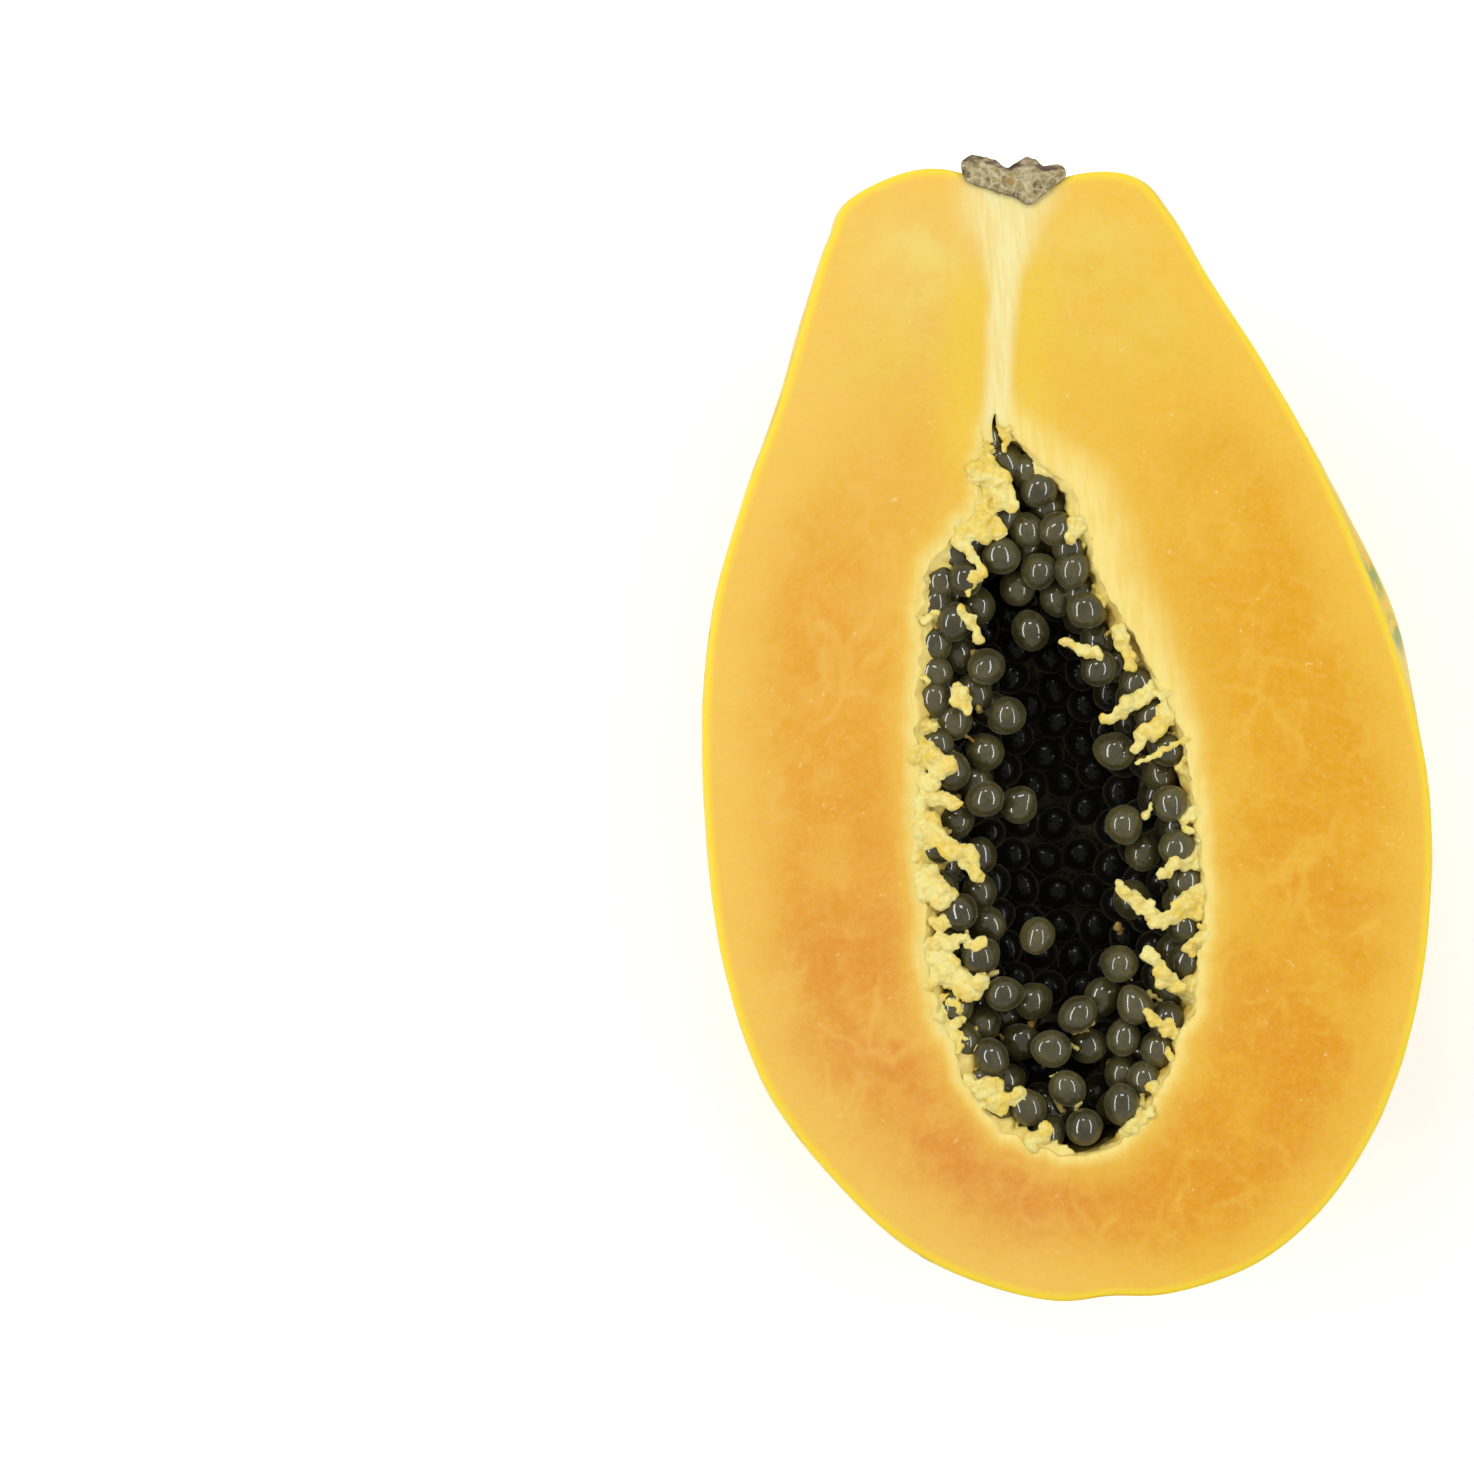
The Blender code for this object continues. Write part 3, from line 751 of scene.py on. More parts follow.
def flesh_over_ground(tree, place, side, colour):
    """The lighter patches, the veins and the yellow layer under the skin."""
    from_skin = attribute(tree, "from_skin")
    for size, low, amount in ((12.0, 0.44, 0.55), (4.0, 0.46, 0.35)):
        patches = soft_step(tree, noise_texture(tree, place, size, 4.0, 0.6), low, low + 0.22, 0.0, amount)
        colour = blend(tree, patches, colour, side_blend(tree, side, MOTTLE))
    inside = soft_step(tree, from_skin, 4.0, 9.0)
    for size, reach, amount, seed_turn in ((8.0, 0.14, 0.36, 12.0), (14.0, 0.07, 0.42, -20.0)):
        veins = calculate(tree, "MULTIPLY", flesh_veins(tree, size, reach, seed_turn), amount)
        colour = blend(tree, calculate(tree, "MULTIPLY", veins, inside), colour, side_blend(tree, side, VEIN))
    fibres = soft_step(tree, noise_texture(tree, place, 0.9, 2.0), 0.66, 0.76, 0.0, 0.55)
    here = soft_step(tree, noise_texture(tree, place, 7.0, 2.0), 0.46, 0.60)
    colour = blend(tree, calculate(tree, "MULTIPLY", fibres, here), colour, FIBRE)
    wandering = calculate(tree, "ADD", from_skin, centred_noise(tree, place, 9.0, 1.2))
    left_band = soft_step(tree, wandering, 1.5, 14.5, 0.90, 0.0)
    right_band = soft_step(tree, wandering, 1.0, 11.0, 0.85, 0.0)
    band = add_node(tree, "ShaderNodeMix", {0: side, 2: left_band, 3: right_band}).outputs[0]
    colour = blend(tree, band, colour, side_blend(tree, side, UNDER_SKIN))
    return blend(tree, soft_step(tree, from_skin, 0.2, 1.7, 0.90, 0.0), colour, SKIN_EDGE)


def flesh_round_seeds(tree, place, colour):
    """The pale border of the cavity, the pale core, and the cavity's wall, with painted shade that makes it
    darker the deeper it lies.
    """
    colour = blend(tree, attribute(tree, "core_side"), colour, CORE_YELLOW)
    colour = blend(tree, attribute(tree, "paleness"), colour, PALE_HALO)
    streaks = noise_texture(tree, stretched_place(tree, (1.6, 0.25, 1.0), math.radians(14)), 1.6, 3.0)
    streaks = soft_step(tree, streaks, 0.34, 0.60, 0.62, 1.0)
    cream = calculate(tree, "MULTIPLY", streaks, attribute(tree, "border"))
    colour = blend(tree, cream, colour, BORDER_CREAM)
    threads = noise_texture(tree, stretched_place(tree, (2.2, 0.2, 1.0), math.radians(-5)), 2.0, 4.0, 0.6)
    threads = soft_step(tree, threads, 0.36, 0.60, 0.60, 1.0)
    core = calculate(tree, "MULTIPLY", threads, attribute(tree, "pale_core"))
    colour = blend(tree, core, colour, CORE_CREAM)
    depth = attribute(tree, "cavity_depth")
    lumps = soft_step(tree, noise_texture(tree, place, 2.6, 4.0, 0.6), 0.40, 0.60)
    wall = blend(tree, lumps, WALL_GOLD, WALL_CREAM)
    colour = blend(tree, soft_step(tree, depth, 0.6, 2.0), colour, wall)
    # Painted shade: brown patches in the wall's pockets grow stronger with depth, and the wall fades to near
    # black deeper down.
    painted_pocket_shade = soft_step(tree, noise_texture(tree, place, 5.0, 3.0), 0.50, 0.66)
    painted_pocket_shade = calculate(tree, "MULTIPLY", painted_pocket_shade, soft_step(tree, depth, 1.4, 4.5))
    colour = blend(tree, painted_pocket_shade, colour, PAINTED_PIT_SHADE)
    return blend(tree, soft_step(tree, depth, 3.5, 9.0), colour, PAINTED_DEEP_SHADE)


# %% Make the flesh


def make_flesh():
    finish, tree, shader = new_finish("papaya_flesh")
    place = add_node(tree, "ShaderNodeTexCoord").outputs["Object"]
    across = add_node(tree, "ShaderNodeSeparateXYZ", {0: place}).outputs["X"]
    side = soft_step(tree, across, -0.016, 0.016)
    colour = flesh_ground(tree, place, side)
    colour = flesh_over_ground(tree, place, side, colour)
    colour = flesh_round_seeds(tree, place, colour)
    mask, height = grain(tree, 1.1, 1.0)
    colour = blend(tree, calculate(tree, "MULTIPLY", mask, 0.10), colour, (0.82, 0.58, 0.22))
    tree.links.new(colour, shader.inputs["Base Color"])
    wet = soft_step(tree, noise_texture(tree, place, 6.0, 3.0), 0.35, 0.65, 0.36, 0.55)
    tree.links.new(wet, shader.inputs["Roughness"])
    raised = add_node(tree, "ShaderNodeBump", {"Height": height, "Strength": 0.35, "Distance": 0.0003})
    tree.links.new(raised.outputs["Normal"], shader.inputs["Normal"])
    shader.inputs["IOR"].default_value = 1.33
    shader.inputs["Subsurface Weight"].default_value = 0.22
    shader.inputs["Subsurface Radius"].default_value = (1.0, 0.45, 0.12)
    shader.inputs["Subsurface Scale"].default_value = 0.0035
    return finish


flesh_finish = make_flesh()
print("flesh:", len(flesh_finish.node_tree.nodes), "nodes")

# %% [markdown]
# ## The skin's finish
#
# A ripe papaya's skin is a waxy yellow that drifts to ochre and, in patches, back to green. It is
# full of small olive and brown flecks of odd shapes, where latex dried or the skin was rubbed, and of
# much finer pores. The creases at the blossom end are a warmer yellow, and the scar is nearly black.

# %% Make the skin
SKIN_YELLOW = (0.72, 0.475, 0.030)
SKIN_LIGHT = (0.77, 0.55, 0.055)
SKIN_OCHRE = (0.56, 0.335, 0.014)
SKIN_GREEN = (0.36, 0.36, 0.030)
FLECK_OLIVE = (0.24, 0.18, 0.022)
FLECK_BROWN = (0.34, 0.17, 0.025)
CREASE_GOLD = (0.70, 0.36, 0.020)
SCAR_BROWN = (0.030, 0.018, 0.010)
SCAR_RIM = (0.55, 0.40, 0.19)
MARK_GREEN = (0.25, 0.30, 0.035)
GREEN_MARKS = ((0.0476, 0.0180, 0.0485, 0.0046), (0.0500, 0.0092, 0.0478, 0.0042))


def flecks(tree, size, spread, radius, roughen, turn):
    """Scattered flecks with ragged edges: small blobs in a net of cells, kept only where noise lets them."""
    place = stretched_place(tree, (1.0, 0.8, 1.0), turn)
    ragged = noise_texture(tree, place, roughen, 3.0, 0.7)
    inputs = {"Vector": place, "Scale": 1000.0 / size, "Randomness": 1.0}
    cells = add_node(tree, "ShaderNodeTexVoronoi", inputs)
    torn = calculate(tree, "MULTIPLY_ADD", ragged, 0.55)
    torn.node.inputs[2].default_value = -0.275
    distance = calculate(tree, "ADD", cells.outputs["Distance"], torn)
    drawn = add_node(tree, "ShaderNodeSeparateColor", {0: cells.outputs["Color"]}).outputs[0]
    reach = soft_step(tree, drawn, 1.0 - spread, 1.0, 0.0, radius)
    inside = calculate(tree, "SUBTRACT", reach, distance)
    return soft_step(tree, inside, 0.0, 0.08)


def ball_mask(tree, place, middle, inner, outer):
    """1 within inner of the middle, 0 beyond outer, in metres."""
    apart = add_node(tree, "ShaderNodeVectorMath", {0: place, 1: middle}, operation="DISTANCE")
    return soft_step(tree, apart.outputs["Value"], inner, outer, 1.0, 0.0)


def make_skin():
    finish, tree, shader = new_finish("papaya_skin")
    place = add_node(tree, "ShaderNodeTexCoord").outputs["Object"]
    drift = noise_texture(tree, place, 38.0, 4.0, 0.55)
    colour = blend(tree, soft_step(tree, drift, 0.40, 0.62), SKIN_YELLOW, SKIN_LIGHT)
    ochre = soft_step(tree, noise_texture(tree, place, 24.0, 3.0, 0.6), 0.52, 0.72, 0.0, 0.75)
    colour = blend(tree, ochre, colour, SKIN_OCHRE)
    green = soft_step(tree, noise_texture(tree, place, 30.0, 5.0, 0.65, 0.6), 0.60, 0.74, 0.0, 0.45)
    colour = blend(tree, green, colour, SKIN_GREEN)
    colour = blend(tree, attribute(tree, "crease"), colour, CREASE_GOLD)
    large = flecks(tree, 4.2, 0.50, 0.30, 1.2, 0.4)
    small = flecks(tree, 2.1, 0.44, 0.36, 0.8, 1.3)
    tint = soft_step(tree, noise_texture(tree, place, 15.0), 0.45, 0.60)
    fleck_colour = blend(tree, tint, FLECK_OLIVE, FLECK_BROWN)
    colour = blend(tree, calculate(tree, "MULTIPLY", large, 0.60), colour, fleck_colour)
    colour = blend(tree, calculate(tree, "MULTIPLY", small, 0.50), colour, fleck_colour)
    mask, height = grain(tree, 0.9, 1.0)
    colour = blend(tree, calculate(tree, "MULTIPLY", mask, 0.12), colour, (0.50, 0.36, 0.03))
    for across, along, over, reach in GREEN_MARKS:
        mark = ball_mask(tree, place, (across, along, over), 0.25 * reach, reach)
        torn = soft_step(tree, noise_texture(tree, place, 2.4, 3.0), 0.34, 0.54)
        colour = blend(tree, calculate(tree, "MULTIPLY", mark, torn), colour, MARK_GREEN)
    scar = (0.0, (BLOSSOM_Y + 0.4) * MM, AXIS_HEIGHT * MM)
    colour = blend(tree, ball_mask(tree, place, scar, 0.0030, 0.0046), colour, SCAR_RIM)
    burnt = soft_step(tree, noise_texture(tree, place, 1.2, 4.0, 0.7), 0.30, 0.62, 1.0, 0.55)
    black = calculate(tree, "MULTIPLY", ball_mask(tree, place, scar, 0.0022, 0.0030), burnt)
    colour = blend(tree, black, colour, SCAR_BROWN)
    tree.links.new(colour, shader.inputs["Base Color"])
    waxy = soft_step(tree, noise_texture(tree, place, 10.0, 3.0), 0.35, 0.65, 0.34, 0.50)
    dry = calculate(tree, "MULTIPLY", large, 0.25)
    tree.links.new(calculate(tree, "ADD", waxy, dry), shader.inputs["Roughness"])
    pores = noise_texture(tree, place, 0.55, 2.0)
    relief = calculate(tree, "MULTIPLY", height, 0.6)
    relief = calculate(tree, "ADD", relief, calculate(tree, "MULTIPLY", pores, 0.35))
    relief = calculate(tree, "SUBTRACT", relief, calculate(tree, "MULTIPLY", large, 0.5))
    raised = add_node(tree, "ShaderNodeBump", {"Height": relief, "Strength": 0.30, "Distance": 0.0003})
    tree.links.new(raised.outputs["Normal"], shader.inputs["Normal"])
    shader.inputs["IOR"].default_value = 1.42
    shader.inputs["Subsurface Weight"].default_value = 0.08
    shader.inputs["Subsurface Radius"].default_value = (1.0, 0.6, 0.1)
    shader.inputs["Subsurface Scale"].default_value = 0.002
    return finish


skin_finish = make_skin()
papaya = piece_from("papaya_half", fruit, (skin_finish, flesh_finish), node="fruit_half")
print("skin:", len(skin_finish.node_tree.nodes), "nodes")

# %% [markdown]
# ## One seed
#
# A fresh papaya seed is a small egg in a wet clear coat. The coat is smooth, so all the fine bumps
# of the seed inside are only hinted at. Each seed starts as a ball of triangles, is stretched to its
# three sizes, is made narrower towards one end, and gets a few soft dents. The seeds must not look
# like copies of each other, so size, shape and turn are drawn afresh for each one, from a fixed start.

# %% Shape a seed
SEED_HALF_LENGTHS = (3.05, 2.75, 2.65)
SEED_DRAW = 23
draw = np.random.default_rng(SEED_DRAW)


def grow_seed(shape, centre, detail, scale=1.0):
    """Adds one seed to the shape, at centre, given in millimetres of the fruit's frame."""
    grown = bmesh.ops.create_icosphere(shape, subdivisions=detail, radius=1.0)["verts"]
    half = np.array(SEED_HALF_LENGTHS) * scale * draw.uniform(0.93, 1.04, 3)
    taper, dent = draw.uniform(0.04, 0.20), draw.uniform(0.02, 0.05)
    turned = Matrix.Rotation(draw.uniform(0, 6.28), 3, "Z") @ Matrix.Rotation(draw.uniform(-1.1, 1.1), 3, "Y")
    turned = turned @ Matrix.Rotation(draw.uniform(0, 6.28), 3, "X")
    shift = Vector(draw.uniform(-50, 50, 3))
    for vertex in grown:
        ball = vertex.co.copy()
        narrow = 1 - taper * ball.x - 0.5 * taper * ball.x**2
        swell = 1 + dent * noise.noise(ball * 1.6 + shift)
        body = Vector((ball.x * half[0], ball.y * half[1] * narrow, ball.z * half[2] * narrow)) * swell
        vertex.co = turned @ body + Vector(centre)


def place_shape(shape):
    """Moves a shape made in millimetres of the fruit's frame to its place in the model."""
    bmesh.ops.translate(shape, verts=shape.verts, vec=(0.0, BLOSSOM_Y, AXIS_HEIGHT))
    bmesh.ops.scale(shape, verts=shape.verts, vec=(MM, MM, MM))


def fruit_frame(point):
    """A point of the model, in metres, as (across, station, height over the axis) in millimetres."""
    return np.array(point) / MM - np.array([0.0, BLOSSOM_Y, AXIS_HEIGHT])


seed_centres = np.array([fruit_frame((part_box(n)[0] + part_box(n)[1]) / 2) for n in seed_names])
print("top layer from", seed_centres.min(0).round(1), "to", seed_centres.max(0).round(1))

# %% [markdown]
# ## The seed's finish
#
# Seen close, the coat is olive grey and a little cloudy, the seed under it is near black, and every
# seed carries sharp bright windows of the lamps. The colour drifts from seed to seed. A clear coat
# gives the sharp windows over a softer gloss, and a thin sheen lights up the rounded edge, as the
# jelly does when light runs through it.

# %% Make the seed coat


def make_seed_coat():
    finish, tree, shader = new_finish("seed_coat")
    place = add_node(tree, "ShaderNodeTexCoord").outputs["Object"]
    each = noise_texture(tree, place, 8.0, 1.0)
    colour = blend(tree, soft_step(tree, each, 0.38, 0.62), (0.036, 0.030, 0.008), (0.078, 0.066, 0.019))
    cloudy = soft_step(tree, noise_texture(tree, place, 2.4, 4.0, 0.6), 0.45, 0.70, 0.0, 0.5)
    colour = blend(tree, cloudy, colour, (0.112, 0.096, 0.036))
    warts, height = grain(tree, 0.9, 1.0)
    colour = blend(tree, calculate(tree, "MULTIPLY", warts, 0.35), colour, (0.026, 0.020, 0.006))
    # Painted shade: seeds below the top layer are painted darker, down to near black, the deeper they lie.
    height_over_table = add_node(tree, "ShaderNodeSeparateXYZ", {0: place}).outputs["Z"]
    free_of_painted_shade = soft_step(tree, height_over_table, (CUT_HEIGHT - 12.0) * MM, (CUT_HEIGHT - 3.0) * MM)
    colour = blend(tree, free_of_painted_shade, (0.003, 0.003, 0.002), colour)
    tree.links.new(colour, shader.inputs["Base Color"])
    raised = add_node(tree, "ShaderNodeBump", {"Height": height, "Strength": 0.12, "Distance": 0.0002})
    tree.links.new(raised.outputs["Normal"], shader.inputs["Normal"])
    damp = soft_step(tree, noise_texture(tree, place, 3.0), 0.35, 0.65, 0.30, 0.48)
    tree.links.new(damp, shader.inputs["Roughness"])
    coat = soft_step(tree, height_over_table, (CUT_HEIGHT - 13.0) * MM, (CUT_HEIGHT - 4.0) * MM, 0.14, 1.0)
    tree.links.new(coat, shader.inputs["Coat Weight"])
    shader.inputs["IOR"].default_value = 1.38
    shader.inputs["Specular IOR Level"].default_value = 0.12
    shader.inputs["Coat Roughness"].default_value = 0.055
    shader.inputs["Coat IOR"].default_value = 1.60
    shader.inputs["Subsurface Weight"].default_value = 0.20
    shader.inputs["Subsurface Radius"].default_value = (1.0, 0.9, 0.5)
    shader.inputs["Subsurface Scale"].default_value = 0.0012
    shader.inputs["Sheen Weight"].default_value = 0.24
    shader.inputs["Sheen Roughness"].default_value = 0.40
    shader.inputs["Sheen Tint"].default_value = (0.70, 0.62, 0.36, 1.0)
    return finish


seed_finish = make_seed_coat()
for name, centre in zip(seed_names, seed_centres):
    seed = bmesh.new()
    grow_seed(seed, centre, 4)
    place_shape(seed)
    piece_from(f"wet_{name}", seed, (seed_finish,), node=name)
print(len(seed_names), "wet seeds")

# %% [markdown]
# ## The seeds underneath
#
# The loose seeds of the model are only the top layer. Below and between them lie many more, and
# they are what fills the gaps and lines the dark cleft. Placing them by hand would take a day. Here
# they are dropped in at random and then pushed apart, again and again, until they touch their
# neighbours, the cavity wall and the seeds above without sinking into them. The cleft stays empty.

# %% Pack the lower seeds
LOWER_SEEDS = 185
LOWER_SPACING = 5.2
SETTLING_STEPS = 130
CLEFT_HALF_LENGTHS = np.array([3.8, 27.0, 13.0])
CLEFT_MIDDLE = np.array([-0.6, 76.0, CUT_ABOVE_AXIS])


def push_apart(loose, others, spacing, share):
    """Moves each loose point away from every other point that is nearer than the spacing."""
    between = loose[:, None] - others[None]
    distance = np.sqrt((between**2).sum(-1))
    distance[distance < 1e-9] = np.inf
    short = np.clip(spacing - distance, 0, None)
    loose += (between / distance[..., None] * short[..., None]).sum(1) * share


def keep_inside(loose, wall, clear):
    for i, point in enumerate(loose):
        found, normal, _, distance = wall.find_nearest(Vector(point))
        if (found - Vector(point)).dot(normal) < 0 or distance < clear:
            loose[i] = found - normal * clear


def cavity_surface():
    """The cavity as a plain closed form, without its rags, to test points against."""
    shape = bmesh.new()
    bmesh.ops.create_uvsphere(shape, u_segments=40, v_segments=40, radius=1.0)
    turn = np.array([math.acos(max(-1.0, min(1.0, -v.co.z))) for v in shape.verts])
    angle = np.array([math.atan2(v.co.y, v.co.x) for v in shape.verts])
    left, right = read_outline(CAVITY, turn, 1), read_outline(CAVITY, turn, 2)
    half_width = np.maximum(0, right - left) / 2
    station = station_at(turn, CAVITY[0][0], CAVITY[-1][0])
    for vertex, x, y, z in zip(
        shape.verts,
        (left + right) / 2 + half_width * np.cos(angle),
        station,
        (CAVITY_DEPTH_SHARE * half_width + CUT_ABOVE_AXIS) * np.sin(angle) + CUT_ABOVE_AXIS,
    ):
        vertex.co = (x, y, z)
    point_faces_out(shape)
    wall = BVHTree.FromBMesh(shape)
    shape.free()
    return wall


def packed_lower_seeds(wall):
    turn = np.arccos(1 - 2 * draw.uniform(0.02, 0.98, LOWER_SEEDS))
    side = -draw.uniform(0, math.pi, LOWER_SEEDS)
    loose = wall_place(turn, side, draw.uniform(0.05, 0.9, LOWER_SEEDS))
    cleft_half = CLEFT_HALF_LENGTHS + SEED_HALF_LENGTHS[0]
    ceiling = CUT_ABOVE_AXIS - 3.2
    for _ in range(SETTLING_STEPS):
        away = loose - CLEFT_MIDDLE
        depth = np.sqrt(((away / cleft_half) ** 2).sum(-1))
        loose[:, 0] += np.where(depth < 1, away[:, 0] * (1 / np.maximum(depth, 0.25) - 1), 0)
        loose[:, 2] -= np.where(depth < 1, 0.15, 0.0)
        push_apart(loose, loose.copy(), LOWER_SPACING, 0.5)
        push_apart(loose, seed_centres, LOWER_SPACING, 0.9)
        keep_inside(loose, wall, 2.2)
        loose[:, 2] = np.minimum(loose[:, 2], ceiling)
    return loose


cavity_wall = cavity_surface()
lower_centres = packed_lower_seeds(cavity_wall)
lower_seeds = bmesh.new()
for centre in lower_centres:
    grow_seed(lower_seeds, centre, 3, 0.97)
place_shape(lower_seeds)
print(f"{len(lower_centres)} lower seeds, {len(lower_seeds.faces)} faces")
piece_from("lower_seeds", lower_seeds, (seed_finish,), node="seed_bed")

# %% [markdown]
# ## Torn placenta between the seeds
#
# The seeds grew on soft pale strings and flaps that stand out from the cavity wall. The knife cut
# some and tore others. A row of overlapping balls stands for each flap or clump, thick at the root
# and thin at the tip. A voxel remesh then melts all the balls into one skin, as soft tissue grows,
# and noise at two sizes tears it. The larger flaps are listed one by one, the small rags placed by chance.

# %% Shape the torn placenta
# Each flap's root and tip as (station, across, height over the cut face), its width and thickness.
FLAPS = (
    ((129.0, -6.6, -2.0), (124.4, -7.0, -2.6), 2.2, 2.4),
    ((122.0, -8.0, -0.6), (116.2, -5.2, 0.3), 6.2, 2.4),
    ((114.6, -10.2, -0.8), (112.4, -7.2, -0.2), 6.0, 2.4),
    ((113.0, 5.4, -0.6), (111.4, 3.4, 0.0), 3.8, 2.2),
    ((112.2, -12.4, -0.4), (107.2, -8.8, 0.4), 2.3, 1.5),
    ((106.8, -11.0, 0.3), (104.2, -11.8, 0.3), 2.4, 1.4),
    ((102.2, -12.6, 0.2), (97.6, -10.6, 0.4), 2.4, 1.5),
    ((95.8, 1.6, -0.2), (93.8, 6.5, 0.2), 2.6, 1.6),
    ((90.8, -14.6, -0.2), (87.6, -13.4, 0.2), 3.6, 1.6),
    ((97.4, 9.8, -0.8), (91.6, 11.2, 0.1), 3.2, 2.2),
    ((88.0, 14.0, -1.4), (84.2, 6.7, 0.3), 4.0, 2.2),
    ((84.6, 16.8, -1.4), (80.8, 10.6, 0.3), 5.2, 2.2),
    ((80.6, 18.4, -1.0), (77.8, 10.6, 0.6), 1.6, 1.4),
    ((63.8, 20.0, -2.0), (61.6, 12.8, 0.2), 3.6, 1.8),
    ((57.4, 20.0, -1.8), (54.6, 11.4, 0.2), 4.4, 2.0),
    ((54.6, 11.4, 0.2), (60.4, 6.7, 0.6), 3.8, 1.6),
    ((44.0, 17.4, -2.4), (46.4, 12.0, 0.0), 5.0, 2.4),
    ((46.4, 12.0, 0.0), (50.4, 9.6, 0.5), 3.2, 1.8),
    ((37.8, 14.8, -2.0), (38.8, 11.6, 0.0), 4.0, 2.2),
    ((38.8, 11.6, 0.0), (41.6, 8.8, 0.4), 2.2, 1.6),
    ((71.0, -23.0, -1.2), (66.2, -14.8, 0.2), 5.2, 2.2),
    ((65.2, -15.6, -0.2), (63.2, -13.2, 0.3), 3.9, 1.6),
    ((62.4, -23.0, -1.2), (61.2, -18.2, -0.2), 6.7, 2.8),
    ((54.6, -22.6, -1.2), (53.6, -14.2, 0.1), 3.6, 2.0),
    ((49.6, -22.0, -1.2), (47.4, -14.8, 0.0), 6.2, 2.6),
    ((81.4, -21.6, -1.2), (79.2, -17.0, -0.2), 5.4, 2.6),
    ((75.0, -22.4, -1.4), (74.0, -15.8, -0.2), 4.4, 2.2),
    ((33.6, -17.6, -0.6), (33.0, -13.6, 0.2), 4.4, 2.0),
    ((29.4, -13.4, -0.6), (31.4, -10.4, 0.2), 4.1, 1.8),
    ((23.4, -9.0, -0.6), (26.0, -6.4, 0.0), 3.9, 1.8),
    ((24.4, 4.4, -0.6), (27.4, 8.6, 0.2), 2.8, 1.8),
    ((85.6, -21.8, -1.8), (85.0, -18.6, -1.1), 3.8, 2.2),
    ((78.2, -22.8, -1.8), (77.0, -19.2, -1.0), 4.4, 2.4),
    ((73.0, -23.2, -1.8), (71.6, -19.6, -1.0), 4.4, 2.6),
    ((66.5, -23.4, -1.6), (63.0, -19.6, -0.9), 4.6, 2.6),
    ((58.2, -23.2, -1.6), (57.0, -19.0, -0.9), 4.4, 2.6),
    ((51.6, -22.6, -1.6), (51.0, -18.6, -0.9), 4.2, 2.6),
    ((45.2, -21.8, -1.6), (44.2, -18.4, -0.9), 4.0, 2.4),
    ((40.2, -20.6, -1.6), (39.6, -17.6, -1.0), 3.6, 2.2),
    ((70.2, 19.8, -1.8), (69.6, 16.9, -1.2), 3.6, 2.2),
    ((50.6, 19.0, -1.6), (50.2, 15.8, -0.8), 3.6, 2.2),
)
RIM_RAGS = 120
CRUMBS = 34
LUMPS_PER_WIDTH = 3.2
REMESH_VOXEL = 0.27
TEAR = ((0.55, 2.0), (0.22, 0.6))


ball = bmesh.new()
bmesh.ops.create_icosphere(ball, subdivisions=2, radius=1.0)
round_lump = bpy.data.meshes.new("round_lump")
ball.to_mesh(round_lump)
ball.free()


def grow_clump(shape, start, end, width, thickness):
    """Adds a heap of overlapping lumps from the root to the tip, in millimetres of the fruit's frame."""
    start, end = Vector(start), Vector(end)
    count = max(3, round(LUMPS_PER_WIDTH * (1 + (end - start).length / width)))
    aside = (end - start).cross(Vector((0, 0, 1))).normalized() * width
    for share in np.linspace(0, 1, count):
        taper = 1 - 0.30 * share
        across, along = draw.uniform(0.26, 0.46, 2) * width
        half = Vector((across, along, draw.uniform(0.30, 0.48) * thickness)) * taper
        middle = start.lerp(end, share) + aside * draw.uniform(-0.24, 0.24) * taper
        middle.z += draw.uniform(-0.2, 0.2) * thickness
        place = Matrix.Translation(middle) @ Matrix.Rotation(draw.uniform(0, 3.14), 4, "Z")
        place = place @ Matrix.Rotation(draw.uniform(-0.4, 0.4), 4, "X") @ Matrix.Diagonal(half).to_4x4()
        lump = round_lump.copy()
        lump.transform(place)
        shape.from_mesh(lump)
        bpy.data.meshes.remove(lump)


def rim_rag_lines(count):
    """Short rags round the cavity's rim, as (root, tip, width, thickness)."""
    for _ in range(count):
        turn = np.array([math.acos(1 - 2 * draw.uniform(0.01, 0.99))])
        side = np.array([0.0 if draw.uniform() < 0.5 else -math.pi])
        rim = wall_place(turn, side, np.array([draw.uniform(0.0, 0.12)]))[0]
        middle = np.array([rim[0] * 0.2, 76 + (rim[1] - 76) * 0.75, rim[2] - 1.5])
        inward = (middle - rim) / np.linalg.norm(middle - rim)
        along = np.array([draw.uniform(-0.5, 0.5), draw.uniform(-1.2, 1.2), 0.0])
        root, tip = rim - inward * 0.8, rim + inward * draw.uniform(0.3, 2.2) + along
        root[2], tip[2] = min(root[2], 2.0), min(tip[2], 2.4)
        yield root, tip, draw.uniform(1.0, 2.9), draw.uniform(0.9, 1.8)


def crumb_lines(count):
    """Crumbs that lie between two neighbouring seeds of the top layer."""
    for _ in range(count):
        first = seed_centres[draw.integers(len(seed_centres))]
        gaps = np.linalg.norm(seed_centres - first, axis=1)
        second = seed_centres[np.argsort(gaps)[draw.integers(1, 4)]]
        middle = (first + second) / 2 + np.array([*draw.uniform(-1.2, 1.2, 2), draw.uniform(-0.6, 1.2)])
        reach = np.array([*draw.uniform(-1.0, 1.0, 2), draw.uniform(-0.3, 0.3)])
        yield middle - reach, middle + reach, draw.uniform(0.9, 1.7), draw.uniform(0.8, 1.3)


